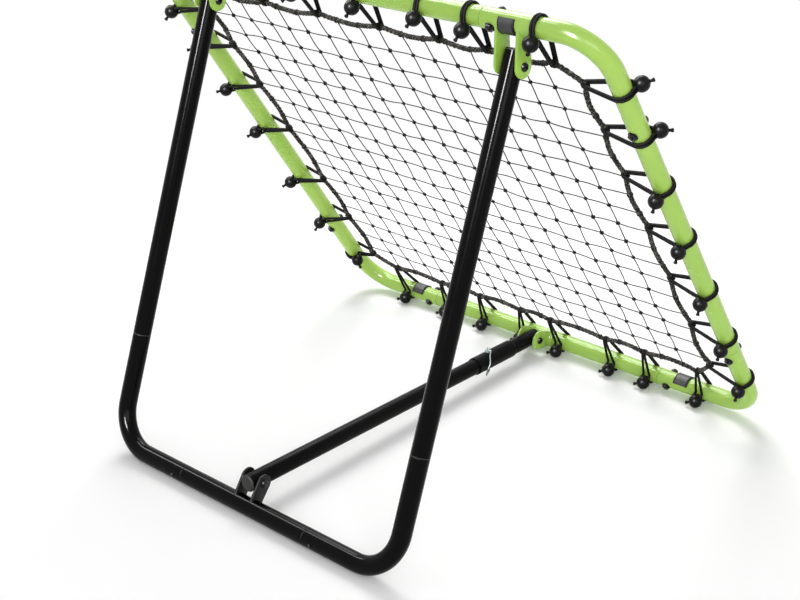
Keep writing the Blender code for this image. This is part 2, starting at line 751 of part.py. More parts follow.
def build_legs(legs, black):
    """Two leg tubes, two bent corners and the bottom tube, with one facet flat on the floor."""
    phase = -LEG_LEAN + pi / TUBE_SIDES
    foot = -Z * LEG_LENGTH
    seam = -(LEG_LENGTH - LEG_SEAM_REACH) + MESH_GAP / 2
    tubes = {}
    for hand, side in (("left", X), ("right", -X)):
        outer, inner = spigot_profile(seam, LEG_OVERRUN, True, False)
        tube = straight_tube(f"leg_tube_{hand}", side * LEG_X, Z, side, -Y, (outer, inner),
                             -phase, black, legs)
        corner = corner_tube(f"leg_corner_{hand}", side * LEG_X + foot, Z, -side,
                             (LEG_SEAM_REACH - MESH_GAP / 2, FOOT_SEAM_REACH - MESH_GAP / 2),
                             LEG_BEND_RADIUS, -Y, -phase, black, legs)
        tubes[hand] = {"tube": tube, "corner": corner}
    half = LEG_X - FOOT_SEAM_REACH - MESH_GAP / 2
    tubes["foot"] = straight_tube("leg_bottom_tube", foot, X, -Z, -Y, spigot_profile(-half, half),
                                  -phase, black, legs)
    return tubes


def build_leg_caps(legs, strut, plastic):
    """Domed plugs in the open ends of the legs and of the strut."""
    profile = cap_profile(TUBE_RADIUS, BORE_RADIUS)
    for hand, place in (("left", LEG_X), ("right", -LEG_X)):
        cap = bmesh.new()
        turned(cap, X * place + Z * LEG_OVERRUN, Z, X, profile, TUBE_SIDES)
        part(f"leg_end_cap_{hand}", cap, plastic, legs)
    cap = bmesh.new()
    end = STRUT_SPAN + STRUT_TUBE_OVERRUN
    profile = cap_profile(STRUT_DIA / 2, STRUT_DIA / 2 - STRUT_WALL)
    turned(cap, Y * end, Y, X, profile, TUBE_SIDES)
    part("strut_end_cap", cap, plastic, strut)


def cap_profile(tube_radius, bore_radius):
    plug = bore_radius * cos(pi / TUBE_SIDES) - MESH_GAP
    return (
        (-CAP_PLUG_LENGTH, 0),
        (-CAP_PLUG_LENGTH, plug),
        (MESH_GAP, plug),
        (MESH_GAP, tube_radius),
        (CAP_DOME, 0.75 * tube_radius),
        (CAP_DOME, 0),
    )


def button_joints():
    """Each spring button: its name, its place, its way out and the run of the tube round it."""
    rise = -(LEG_LENGTH - LEG_SEAM_REACH + SNAP_SETBACK)
    foot_x = LEG_X - FOOT_SEAM_REACH + SNAP_SETBACK
    foot = -Z * LEG_LENGTH
    back = Y * cos(LEG_LEAN) - Z * sin(LEG_LEAN)
    return (
        ("leg_left", X * LEG_X + Z * rise, X, Z),
        ("leg_right", -X * LEG_X + Z * rise, X, Z),
        ("foot_left", X * foot_x + foot, back, -X),
        ("foot_right", -X * foot_x + foot, back, X),
    )


def build_buttons(legs, tubes, steel):
    """Domed buttons pushed out through both tube walls by a strip spring inside the spigot."""
    radius = BUTTON_DIA / 2
    flange_top = SPIGOT_BORE * cos(pi / TUBE_SIDES) ** 2 - 3 * MESH_GAP
    flange_low = flange_top - BUTTON_FLANGE_HEIGHT
    proud = TUBE_RADIUS + BUTTON_PROUD
    profile = (
        (flange_low, 0),
        (flange_low, BUTTON_FLANGE_DIA / 2),
        (flange_top - MESH_GAP, BUTTON_FLANGE_DIA / 2),
        (flange_top, radius),
        (proud - 0.6 * radius, radius),
        (proud - 0.15 * radius, 0.6 * radius),
        (proud, 0),
    )
    holes = bmesh.new()
    for name, place, out, run in button_joints():
        button = bmesh.new()
        turned(button, Vector((0, 0, 0)), out, run, profile, BOLT_SIDES)
        part(f"{name}_button", button, steel, legs, place)
        rod(holes, place, out, run, SPIGOT_BORE / 2, TUBE_DIA, hole_radius(radius))
        spring = bmesh.new()
        strip_spring(spring, place, out, run, flange_low - BUTTON_TRAVEL - MESH_GAP)
        part(f"{name}_spring", spring, steel, legs)
    tool = guide("button_holes", holes, steel, legs)
    for item in (tubes["left"]["tube"], tubes["right"]["tube"], tubes["left"]["corner"],
                 tubes["right"]["corner"], tubes["foot"]):
        boolean(item, tool)


def strip_spring(bm, place, out, run, top):
    """A strip folded back on itself: one leg on the far wall, the other where the button stops."""
    side = out.cross(run)
    flat_bore = SPIGOT_BORE * cos(pi / TUBE_SIDES)
    low = MESH_GAP - (flat_bore ** 2 - (SPRING_WIDTH / 2) ** 2) ** 0.5
    middle = (top + low) / 2
    bend = (top - low) / 2
    outline = []
    for radius, order in ((bend, 1), (bend - SPRING_STRIP, -1)):
        stretch = []
        for k in range(5):
            angle = -pi / 2 + pi * k / 4
            stretch.append((SPRING_LENGTH - bend + radius * cos(angle), middle + radius * sin(angle)))
        ends = [(-BUTTON_DIA / 2, middle - radius), (-BUTTON_DIA / 2, middle + radius)]
        stretch = [ends[0]] + stretch + [ends[1]]
        outline += stretch[::order]
    near = []
    far = []
    for along, height in outline:
        point = place + run * along + out * height
        near.append(bm.verts.new(point - side * (SPRING_WIDTH / 2)))
        far.append(bm.verts.new(point + side * (SPRING_WIDTH / 2)))
    skin(bm, near, far)
    bm.faces.new(near)
    bm.faces.new(far)


def build_strut_bracket_rear(legs, tubes, black):
    """Two ears welded to the bottom tube, with the bolt's head and nut seated in them."""
    pivot = Y * REAR_PIVOT_BACK + Z * REAR_PIVOT_UP
    foot = -Z * LEG_LENGTH
    ear_inner = STRUT_DIA / 2 + STRUT_EAR_GAP
    outline = ear_outline(TUBE_RADIUS - WELD_DEPTH, pivot, REAR_EAR_RADIUS, radians(60.0))
    outline = [point + foot for point in outline]
    ears = bmesh.new()
    plate(ears, outline, EAR_THICKNESS, ear_inner)
    plate(ears, outline, EAR_THICKNESS, -ear_inner - EAR_THICKNESS)
    boolean(tubes["foot"], guide("strut_ears_rear", ears, black, legs), "UNION")
    shank = PIVOT_BOLT_DIA / 2
    head = PIVOT_HEAD_DIA / 2
    seat = ear_inner + EAR_THICKNESS + MESH_GAP
    profile = (
        (ear_inner - PIVOT_STUB_LENGTH, 0),
        (ear_inner - PIVOT_STUB_LENGTH, shank),
        (seat, shank),
        (seat, head),
        (seat + 0.75 * PIVOT_HEAD_HEIGHT, 0.7 * head),
        (seat + PIVOT_HEAD_HEIGHT, 0),
    )
    for name, way in (("strut_bolt_rear_head", X), ("strut_bolt_rear_nut", -X)):
        bolt = bmesh.new()
        turned(bolt, pivot + foot, way, Y, profile, BOLT_SIDES)
        part(name, bolt, black, legs)
    hole = bmesh.new()
    rod(hole, pivot + foot, X, Y, -2 * ear_inner, 2 * ear_inner, hole_radius(shank))
    boolean(tubes["foot"], guide("strut_bolt_hole_rear", hole, black, legs))


def build_strut(strut, front_hole, black):
    """A long tube in a wider socket, which swings on its neck at the front bracket."""
    radius = STRUT_DIA / 2
    bore = radius - STRUT_WALL
    socket = STRUT_SOCKET_DIA / 2
    socket_bore = radius + MESH_GAP
    flare = socket - radius
    outer = (
        (-STRUT_NECK_OVERRUN, radius),
        (STRUT_NECK_LENGTH, radius),
        (STRUT_NECK_LENGTH + 2 * flare, socket),
        (STRUT_SOCKET_END, socket),
    )
    inner = (
        (-STRUT_NECK_OVERRUN, bore),
        (STRUT_TUBE_START - 2 * flare, bore),
        (STRUT_TUBE_START - flare, socket_bore),
        (STRUT_SOCKET_END, socket_bore),
    )
    phase = pi / TUBE_SIDES
    front = straight_tube("strut_socket", Vector((0, 0, 0)), Y, Z, X, (outer, inner), phase, black, strut)
    end = STRUT_SPAN + STRUT_TUBE_OVERRUN
    outer = ((STRUT_TUBE_START, radius), (end, radius))
    inner = ((STRUT_TUBE_START, bore), (end, bore))
    rear = straight_tube("strut_tube", Vector((0, 0, 0)), Y, Z, X, (outer, inner), phase, black, strut)
    boolean(front, front_hole)
    cross = bmesh.new()
    rod(cross, Y * LOCK_PIN_REACH, Z, X, -2 * socket, 2 * socket, hole_radius(LOCK_PIN_DIA / 2))
    tool = guide("lock_pin_hole", cross, black, strut)
    boolean(front, tool)
    boolean(rear, tool)
    rear_cross = bmesh.new()
    rod(rear_cross, Y * STRUT_SPAN, X, Y, -2 * radius, 2 * radius, hole_radius(PIVOT_BOLT_DIA / 2))
    boolean(rear, guide("strut_pivot_hole_rear", rear_cross, black, strut))


def build_lock_pin(strut, steel):
    """A pin down through the socket, and a wire bail from its eye round to its tip."""
    socket = STRUT_SOCKET_DIA / 2
    seat = socket * cos(pi / TUBE_SIDES) + MESH_GAP
    pin = LOCK_PIN_DIA / 2
    head = LOCK_HEAD_DIA / 2
    place = Y * LOCK_PIN_REACH
    origin = Vector((0, 0, 0))
    profile = (
        (-seat - LOCK_PIN_TIP, 0),
        (-seat - LOCK_PIN_TIP, 0.5 * pin),
        (-seat - 0.7 * LOCK_PIN_TIP, pin),
        (seat, pin),
        (seat, head),
        (seat + LOCK_HEAD_HEIGHT, head),
        (seat + LOCK_HEAD_HEIGHT, 0),
    )
    body = bmesh.new()
    turned(body, origin, Z, X, profile, BOLT_SIDES)
    pin_item = part("lock_pin", body, steel, strut, place)
    eye = bmesh.new()
    half = LOCK_EYE_WIDTH / 2
    eye_z = seat + LOCK_HEAD_HEIGHT + 0.35 * LOCK_EYE_DIA
    rod(eye, Z * eye_z, Y, X, -half, half, LOCK_EYE_DIA / 2)
    boolean(pin_item, guide("lock_pin_eye", eye, steel, strut, place), "UNION")
    hole = bmesh.new()
    wire = BAIL_WIRE_DIA / 2
    rod(hole, Z * eye_z, Y, X, -2 * half, 2 * half, wire + BOLT_CLEARANCE, ROPE_SIDES)
    boolean(pin_item, guide("lock_pin_eye_hole", hole, steel, strut, place))
    clear = socket + wire + 2 * MESH_GAP
    low = -seat - 0.55 * LOCK_PIN_TIP
    route = (
        (0.0, -half - 0.001, 0.0),
        (0.0, half + 0.001, 0.0),
        (-0.003, half + 0.0022, 0.0),
        (-head - wire - 2 * MESH_GAP, half + 0.001, -0.0006),
        (-clear * 0.62, half * 0.8, clear * 0.84 - eye_z),
        (-clear * 1.02, half * 0.6, clear * 0.2 - eye_z),
        (-clear * 0.98, 0.0, -clear * 0.42 - eye_z),
        (-clear * 0.72, 0.0, low * 0.98 - eye_z),
        (-clear * 0.45, 0.0, low - eye_z),
        (-pin - wire - MESH_GAP, 0.0, low - eye_z + 0.0004),
    )
    bail = bmesh.new()
    cord(bail, [Vector(point) for point in route], wire, ROPE_SIDES)
    part("pin_bail", bail, steel, strut, place + Z * eye_z)


def build():
    clear_scene()
    green = finish("lime_powder_coat", (0.38, 0.68, 0.10), 0.32)
    black = finish("black_powder_coat", (0.012, 0.012, 0.013), 0.28)
    bolt_black = finish("black_bolts", (0.02, 0.02, 0.022), 0.4)
    plastic = finish("black_plastic", (0.018, 0.018, 0.02), 0.35)
    rubber = finish("grey_rubber", (0.05, 0.05, 0.055), 0.6)
    rope = finish("edge_rope", (0.03, 0.025, 0.022), 0.85)
    twine = finish("net_twine", (0.03, 0.025, 0.022), 0.8)
    steel = finish("zinc_steel", (0.62, 0.63, 0.64), 0.3, 1.0)

    frame = empty("frame_plane", None, (0, DEPTH_SHIFT, FRAME_RISE), -FRAME_LEAN)
    legs = empty("leg_fold", frame, (0, HINGE_BACK, HINGE_UP), LEG_LEAN + FRAME_LEAN)
    strut = empty("strut_fold", frame, (0, FRONT_PIVOT_BACK, FRONT_PIVOT_UP), STRUT_RISE + FRAME_LEAN)

    loops = loops_by_side()
    frame_tubes = build_net_frame(frame, green)
    build_frame_bolts(frame, frame_tubes, bolt_black)
    build_pads(frame, rubber)
    leg_tubes = build_legs(legs, black)
    build_hinges(frame, leg_tubes, green, bolt_black)
    build_leg_caps(legs, strut, plastic)
    build_buttons(legs, leg_tubes, steel)
    build_strut_bracket_rear(legs, leg_tubes, black)
    front_hole = build_strut_bracket_front(frame, green, bolt_black)
    build_strut(strut, front_hole, black)
    build_lock_pin(strut, steel)
    build_net(frame, loops, twine)
    build_rope_and_loops(frame, loops, rope, plastic)
    bpy.context.view_layer.update()


build()
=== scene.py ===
import bpy
import bmesh
from math import acos, atan2, ceil, cos, degrees, hypot, pi, radians, sin
from mathutils import Matrix, Vector
from random import Random


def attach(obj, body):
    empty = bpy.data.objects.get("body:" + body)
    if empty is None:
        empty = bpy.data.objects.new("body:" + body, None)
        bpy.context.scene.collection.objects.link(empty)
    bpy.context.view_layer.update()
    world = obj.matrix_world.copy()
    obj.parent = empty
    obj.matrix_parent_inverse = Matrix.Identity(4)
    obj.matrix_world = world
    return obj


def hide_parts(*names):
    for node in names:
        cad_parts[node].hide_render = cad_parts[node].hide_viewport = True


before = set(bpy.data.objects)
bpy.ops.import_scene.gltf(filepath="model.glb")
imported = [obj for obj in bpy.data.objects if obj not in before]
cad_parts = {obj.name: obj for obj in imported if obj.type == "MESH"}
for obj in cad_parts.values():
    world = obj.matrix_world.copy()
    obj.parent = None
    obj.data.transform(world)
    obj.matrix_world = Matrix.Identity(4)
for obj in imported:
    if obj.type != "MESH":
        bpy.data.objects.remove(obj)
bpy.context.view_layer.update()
print("frame loaded")

xAxis = Vector((1, 0, 0))
yAxis = Vector((0, 1, 0))
zAxis = Vector((0, 0, 1))
zero = Vector((0, 0, 0))
hands = (("left", 1), ("right", -1))


class Settings(dict):
    # A dictionary whose entries are also read and set by name
    __getattr__ = dict.__getitem__
    __setattr__ = dict.__setitem__


# The CAD's own sizes that the looks are fitted to
fit = Settings(
    side=1.000, tube=0.016, wall=0.0015, lean=radians(34.0), bend=0.070, seamReach=0.205, boltSetback=0.020,
    gap=0.0003, spigotPlay=0.0004, legLean=radians(20.7), legX=0.330, legOverrun=0.021, legBend=0.075,
    legSeam=0.200, footSeam=0.182, snapSetback=0.020, hingeDrop=0.052, hingeBack=0.034, ear=0.004, earGap=0.0015,
    hingeTip=0.018, strutRadius=0.015, strutEarGap=0.002, socket=0.017, socketFlat=0.0167212, frontUp=0.035,
    frontBack=0.031, rearUp=0.044, rearBack=-0.013, cord=0.0025, barGap=0.0006, ball=0.0125, buttonProud=0.003,
    wrapStep=radians(44.0))
fit.half = fit.side / 2 - fit.tube
fit.top = 2 * fit.half
fit.bore = fit.tube - fit.wall
fit.flat = fit.tube * cos(pi / 12)
fit.wrap = fit.tube + fit.barGap + fit.cord
fit.rise = fit.wrap / cos(fit.wrapStep / 2) + fit.cord + fit.gap
fit.hingeUp = fit.top - fit.hingeDrop
fit.ballSeat = fit.tube + fit.gap + fit.ball


def leaned(back, up, lean):
    return back * cos(lean) + up * sin(lean), -back * sin(lean) + up * cos(lean)


hingeY, hingeZ = leaned(fit.hingeBack, fit.hingeUp, fit.lean)
hingeZ += fit.rise
fit.leg = (hingeZ - fit.flat) / cos(fit.legLean)
footY = hingeY + fit.leg * sin(fit.legLean)
frontY, frontZ = leaned(fit.frontBack, fit.frontUp, fit.lean)
frontZ += fit.rise
rearY = footY - fit.rearUp * sin(fit.legLean) + fit.rearBack * cos(fit.legLean)
rearZ = fit.flat + fit.rearUp * cos(fit.legLean) + fit.rearBack * sin(fit.legLean)
strutRise = atan2(rearZ - frontZ, rearY - frontY)
strutSpan = hypot(rearZ - frontZ, rearY - frontY)
shift = -(footY + fit.tube + fit.buttonProud - (fit.rise - fit.gap)) / 2
foot = -zAxis * fit.leg


def planeAt(parent, back, up, angle):
    return parent @ Matrix.Translation((0, back, up)) @ Matrix.Rotation(angle, 4, "X")


# Where each body's pieces are drawn, and the body they ride on
netPlane = planeAt(Matrix(), shift, fit.rise, -fit.lean)
legPlane = planeAt(netPlane, fit.hingeBack, fit.hingeUp, fit.legLean + fit.lean)
strutPlane = planeAt(netPlane, fit.frontBack, fit.frontUp, strutRise + fit.lean)
onNet, onLegs, onStrut = (netPlane, "net_frame"), (legPlane, "leg_frame"), (strutPlane, "strut")


# Colour and node helpers
def linear(code):
    channels = [int(code[k:k + 2], 16) / 255 for k in (0, 2, 4)]
    return (*[c / 12.92 if c <= 0.04045 else ((c + 0.055) / 1.055) ** 2.4 for c in channels], 1.0)


def grey(value):
    return (value, value, value, 1.0)


def join(tree, made, sockets):
    # Sets each named socket to its value, or links it to the output given for it; a node stands for its first output
    for key, value in sockets.items():
        if isinstance(value, bpy.types.Node):
            value = value.outputs[0]
        if isinstance(value, bpy.types.NodeSocket):
            tree.links.new(value, made.inputs[key])
        else:
            made.inputs[key].default_value = value


def add(tree, kind, sockets=None, stops=(), **settings):
    # Adds one node with its settings, its links and the stops of its ramp, if it has one
    made = tree.nodes.new(kind)
    for key, value in settings.items():
        setattr(made, key, value)
    join(tree, made, sockets or {})
    for k, (place, colour) in enumerate(stops):
        element = made.color_ramp.elements[k] if k < 2 else made.color_ramp.elements.new(place)
        element.position = place
        element.color = colour
    return made


def newMaterial(name, sockets):
    material = bpy.data.materials.new(name)
    material.use_nodes = True
    shader = material.node_tree.nodes["Principled BSDF"]
    join(material.node_tree, shader, sockets)
    return material, material.node_tree, shader


# Each family of surfaces has its noises, as (detail, roughness), and says which of them its tone, its gloss
# and its relief read, with the ramp's stops for the first two
powder = {"noises": ((2.0, 0.5), (5.0, 0.65), (2.0, 0.5)), "tone": (0, 0.35, 0.65), "rough": (1, 0.3, 0.72),
          "relief": 2}
metal = {"noises": ((4.0, 0.6),), "tone": (0, 0.28, 0.75), "rough": (0, 0.2, 0.8), "relief": 0}
plastic = {"noises": ((3.0, 0.5), (3.0, 0.6)), "tone": (0, 0.3, 0.7), "rough": (1, 0.3, 0.7), "relief": 1}


def surface(name, family, **look):
    material, tree, shader = newMaterial(name, {
        "Metallic": look.get("metallic", 0.0), "Specular IOR Level": look.get("gloss", 0.5),
        "Coat Weight": look.get("coat", 0.0), "Coat Roughness": 0.10})
    where = add(tree, "ShaderNodeTexCoord").outputs["Object"]
    if "stretch" in look:
        where = add(tree, "ShaderNodeMapping", {"Vector": where, "Scale": look["stretch"]})
    fields = [add(tree, "ShaderNodeTexNoise", {"Vector": where, "Scale": 1000 / size, "Detail": detail,
                                               "Roughness": rough})
              for (detail, rough), size in zip(family["noises"], look["mm"])]
    ramps = [add(tree, "ShaderNodeValToRGB", {"Fac": fields[source]}, zip((low, high), map(shade, ends)))
             for (source, low, high), shade, ends in ((family["tone"], linear, look["tones"]),
                                                      (family["rough"], grey, look["rough"]))]
    bump = add(tree, "ShaderNodeBump", {"Height": fields[family["relief"]], "Distance": look["deepMm"] / 1000})
    join(tree, shader, {"Base Color": ramps[0], "Roughness": ramps[1], "Normal": bump})
    return material


# Polyester powder coat, sprayed and baked on steel: an even colour with a slight drift of tone, faint rubbed
# patches that soften the gloss, and a fine orange peel that breaks up the highlight. The peel is about 1 mm
# on the real coat; it is drawn at 1.8 to 2.4 mm so that it shows. Sizes: drift, rubbed patches, peel
lime = surface(
    "powderCoatLimeGloss", powder, tones=("A2CD56", "ACD45F"), rough=(0.18, 0.30), mm=(170, 45, 2.4), deepMm=0.012,
    gloss=0.34, coat=0.12)
# A darker copy of the lime for the seams' rounded rims: painted shade in the joint
limeShade = surface(
    "powderCoatLimeRimShade", powder, tones=("86AE47", "93BB50"), rough=(0.40, 0.55), mm=(20, 12, 2.4), deepMm=0.03,
    gloss=0.30)
# The black is sprayed thicker: a deep wet gloss that shows the light as one crisp line
black = surface(
    "powderCoatBlackGloss", powder, tones=("020202", "040404"), rough=(0.12, 0.18), mm=(140, 60, 2.4),
    deepMm=0.005, gloss=0.08)
# The strut's black is drier, a shade warmer and scuffed where its tubes slide
strutBlack = surface(
    "powderCoatBlackStrut", powder, tones=("030202", "060505"), rough=(0.24, 0.40), mm=(90, 30, 1.8), deepMm=0.03,
    gloss=0.07)
# The rear ears' black is greyer and nearly matt
earBlack = surface(
    "powderCoatBlackEar", powder, tones=("0B0A0A", "131211"), rough=(0.36, 0.50), mm=(30, 14, 1.8), deepMm=0.04,
    gloss=0.22)

# Steel, plated or worn bare: bright metal whose fine lines run along the part and smear its highlights
zinc = surface(
    "steelZincPlated", metal, tones=("5F6668", "A7AEAD"), rough=(0.42, 0.60), mm=(1.6,), deepMm=0.05, metallic=1.0,
    stretch=(1.0, 1.0, 0.4))
wornRim = surface(
    "steelWornRim", metal, tones=("5A5857", "93908C"), rough=(0.38, 0.55), mm=(0.8,), deepMm=0.01, metallic=1.0,
    stretch=(1.0, 1.0, 0.12))
# A darker metal rim, used at the seams of the leg corners and the foot tube
rimDark = surface(
    "steelSeamRimDark", metal, tones=("0D0C0C", "33312F"), rough=(0.40, 0.55), mm=(0.8,), deepMm=0.01,
    metallic=1.0, stretch=(1.0, 1.0, 0.12))
# Black oxide leaves bolts nearly black, with greyer patches where they were handled
oxide = surface(
    "steelBlackOxide", metal, tones=("060607", "1A1A1B"), rough=(0.22, 0.42), mm=(4.0,), deepMm=0.02, metallic=0.4)

# Injection moulded plastic and rubber: one even tone with a soft sheen and a fine eroded grain.
# Sizes: cloud of tone, grain
ballPlastic = surface(
    "polypropyleneBallSatin", plastic, tones=("060606", "0E0D0D"), rough=(0.28, 0.40), mm=(18, 0.9), deepMm=0.006,
    gloss=0.15)
capPlastic = surface(
    "polyethyleneCapGrey", plastic, tones=("262524", "333230"), rough=(0.5, 0.65), mm=(12, 0.8), deepMm=0.04,
    gloss=0.3)
capBlack = surface(
    "polyethyleneCapBlack", plastic, tones=("080808", "101010"), rough=(0.35, 0.5), mm=(12, 0.8), deepMm=0.03,
    gloss=0.2)
padRubber = surface(
    "rubberPadGrey", plastic, tones=("19191A", "313032"), rough=(0.30, 0.50), mm=(14, 1.0), deepMm=0.06, gloss=0.5)
# The near-black edge finish is painted shade on the pad's sides, ends and underside
padEdgeShade = surface(
    "rubberPadEdgePaintedShade", plastic, tones=("070707", "0E0E0E"), rough=(0.5, 0.65), mm=(14, 1.0), deepMm=0.05, gloss=0.2)


# Textile cord: strands cross at a slant on the cord's own length and girth, with shade painted dark into the
# hollows of the weave and a few pale flecks painted on the crests as highlight
def corded(name, tones, slants, strandMm, patchMm, deepMm, rough, sheen, gloss):
    material, tree, shader = newMaterial(name, {"Roughness": rough, "Sheen Weight": sheen, "Sheen Roughness": 0.5,
                                                "Specular IOR Level": gloss})
    run = add(tree, "ShaderNodeTexCoord").outputs["UV"]
    heights = []
    for slant in slants:
        lay = add(tree, "ShaderNodeMapping", {"Vector": run, "Rotation": (0.0, 0.0, radians(slant))})
        # A wave's scale of 314 repeats once a millimetre
        bands = add(tree, "ShaderNodeTexWave", {"Vector": lay, "Scale": 314 / strandMm, "Distortion": 0.6,
                                                "Detail": 1.0}, bands_direction="X")
        heights.append(bands.outputs["Fac"])
    weave = lit = add(tree, "ShaderNodeMath", {0: heights[0], 1: heights[-1]}, operation="MAXIMUM")
    for size, detail in zip(patchMm, (3.0, 4.0)):
        patch = add(tree, "ShaderNodeTexNoise", {"Vector": run, "Scale": 1000 / size, "Detail": detail})
        lit = add(tree, "ShaderNodeMath", {0: lit, 1: patch}, operation="MULTIPLY")
    # The tone paints shade dark into the weave's hollows and a pale highlight on its highest crests
    tone = add(tree, "ShaderNodeValToRGB", {"Fac": lit}, zip((0.12, 0.22, 0.33), map(linear, tones)))
    bump = add(tree, "ShaderNodeBump", {"Height": weave, "Distance": deepMm / 1000})
    join(tree, shader, {"Base Color": tone, "Normal": bump})
    return material


# The rope's pale third tone is a painted highlight on the strands' crests
ropeBraid = corded(
    "polyesterRopeBraided", tones=("030303", "0B0A09", "9A9186"), slants=(38.0, -38.0), strandMm=2.2,
    patchMm=(9, 2.5), deepMm=0.30, rough=0.74, sheen=0.06, gloss=0.2)
elastic = corded(
    "rubberCordBraided", tones=("030303", "0A0909", "171513"), slants=(38.0, -38.0), strandMm=1.3,
    patchMm=(7, 2.0), deepMm=0.12, rough=0.60, sheen=0.0, gloss=0.12)
twineLaid = corded(
    "polyethyleneTwineLaid", tones=("040404", "0D0C0B", "1C1917"), slants=(32.0,), strandMm=1.1, patchMm=(6, 2.0),
    deepMm=0.10, rough=0.58, sheen=0.0, gloss=0.2)
print("materials made")


# Mesh helpers
class Shape:
    def __init__(self):
        self.points, self.faces, self.uvs, self.slots = [], [], [], []

    def grid(self, rings, marks, slot=0, closed=False):
        # Skins a list of equal rings. marks holds each ring's place along the run and its girth, and slot is
        # one material slot or a function of a face's place along the run and round the ring
        count = len(rings[0])
        base = len(self.points)
        for one in rings:
            self.points.extend(one)
        for k in range(len(rings) if closed else len(rings) - 1):
            low, high = base + k * count, base + (k + 1) % len(rings) * count
            (u0, girth0), (u1, girth1) = marks[k], marks[k + 1]
            for n in range(count):
                p = (n + 1) % count
                self.faces.append((low + n, low + p, high + p, high + n))
                v0, v1 = n / count, (n + 1) / count
                self.uvs.append(((u0, v0 * girth0), (u0, v1 * girth0), (u1, v1 * girth1), (u1, v0 * girth1)))
                self.slots.append(slot(k, n) if callable(slot) else slot)

    def cap(self, loop, slot=0):
        base = len(self.points)
        self.points.extend(loop)
        self.faces.append(tuple(range(base, base + len(loop))))
        self.uvs.append(tuple((0.0, 0.0) for _ in loop))
        self.slots.append(slot)

    def take(self, other, offset):
        base = len(self.points)
        self.points += [p + offset for p in other.points]
        self.faces += [tuple(base + k for k in face) for face in other.faces]
        self.uvs += other.uvs
        self.slots += other.slots


def polar(radius, angle):
    return yAxis * (radius * cos(angle)) + zAxis * (radius * sin(angle))


def circle(centre, along, across, radius, sides):
    turns = [2 * pi * k / sides for k in range(sides)]
    return [centre + along * (radius * cos(turn)) + across * (radius * sin(turn)) for turn in turns]


def placed(name, data):
    made = bpy.data.objects.new(name, data)
    bpy.context.scene.collection.objects.link(made)
    return made


def bareObject(name, points, shape, materials):
    mesh = bpy.data.meshes.new(name)
    mesh.from_pydata([tuple(p) for p in points], [], shape.faces)
    if shape.faces:
        layer = mesh.uv_layers.new(name="run")
        layer.data.foreach_set("uv", [value for corners in shape.uvs for corner in corners for value in corner])
    for material in materials:
        mesh.materials.append(material)
    mesh.shade_smooth()
    return placed(name, mesh)


weld = 0.00001


def piece(name, shape, home, materials, replaced, sharp=40.0):
    plane, body = home
    made = bareObject(name, [plane @ p for p in shape.points], shape, materials)
    mesh = made.data
    mesh.polygons.foreach_set("material_index", shape.slots)
    bm = bmesh.new()
    bm.from_mesh(mesh)
    bmesh.ops.remove_doubles(bm, verts=bm.verts, dist=weld)
    bmesh.ops.recalc_face_normals(bm, faces=bm.faces)
    bm.to_mesh(mesh)
    bm.free()
    mesh.set_sharp_from_angle(angle=radians(sharp))
    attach(made, body)
    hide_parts(*replaced)


def lathe(shape, centre, axis, across, profile, sides, slot=0):
    # profile holds (place along the axis, radius); a radius of 0 closes an end
    side = axis.cross(across)
    rings, marks, run, last = [], [], 0.0, profile[0]
    for place, radius in profile:
        run += hypot(place - last[0], radius - last[1])
        last = (place, radius)
        rings.append(circle(centre + axis * place, across, side, max(radius, 0.000002), sides))
        marks.append((run, 2 * pi * radius))
    shape.grid(rings, marks, slot)


def raised(base, profile):
    return [(base + place, radius) for place, radius in profile]


def domed(place, radius, height, steps=7):
    # Profile of a dome from above its rim to its crown
    return [(place + height * sin(pi / 2 * k / steps), radius * cos(pi / 2 * k / steps)) for k in range(1, steps + 1)]


def sweep(shape, points, radius, sides, closed=False, slot=0, caps=True):
    # A cord along points; its section is carried on without a twist
    count = len(points)
    rings, marks, run, normal = [], [], 0.0, None
    for k, point in enumerate(points):
        before = points[k - 1] if closed or k > 0 else point
        after = points[(k + 1) % count] if closed or k < count - 1 else point
        tangent = (after - before).normalized()
        if normal is None:
            normal = tangent.cross(yAxis if abs(tangent.y) < 0.9 else xAxis)
        normal = (normal - tangent * normal.dot(tangent)).normalized()
        if k:
            run += (point - points[k - 1]).length
        thick = radius[k] if isinstance(radius, list) else radius
        rings.append(circle(point, normal, tangent.cross(normal), thick, sides))
        marks.append((run, 2 * pi * thick))
    if closed:
        marks.append((run + (points[0] - points[-1]).length, marks[0][1]))
    shape.grid(rings, marks, slot, closed)
    if caps and not closed:
        shape.cap(rings[0][::-1], slot)
        shape.cap(rings[-1], slot)


def smoothRun(points, step):
    # A smooth line through the points, laid out at about one point a step
    out = []
    last = len(points) - 1
    for k in range(last):
        a, b = points[max(k - 1, 0)], points[k]
        c, d = points[k + 1], points[min(k + 2, last)]
        parts = max(1, ceil((c - b).length / step))
        for n in range(parts):
            t = n / parts
            out.append(0.5 * (2 * b + (c - a) * t + (2 * a - 5 * b + 4 * c - d) * t * t
                              + (3 * b - a - 3 * c + d) * t ** 3))
    out.append(points[-1])
    return out


def barPlace(side, along, inset=0.0, back=0.0):
    # A point on a bar's centre line, or moved in to the net or back from it
    if side in ("top", "bottom"):
        return Vector((along, back, fit.top - inset if side == "top" else inset))
    return Vector(((fit.half - inset) * (1 if side == "left" else -1), back, along))


# Steel tube: a seam is a cut end, or the step where the tube narrows to the spigot that enters the next one
tubeLook = Settings(
    sides=56, rim=0.0007, lip=0.012, flat=0.0006, bendSteps=22, sharp=50.0, spigot=0.014, shoulder=0.0001,
    fillet=0.0003, runs=(0.8, 0.6, 0.4, 0.2), parts=8)


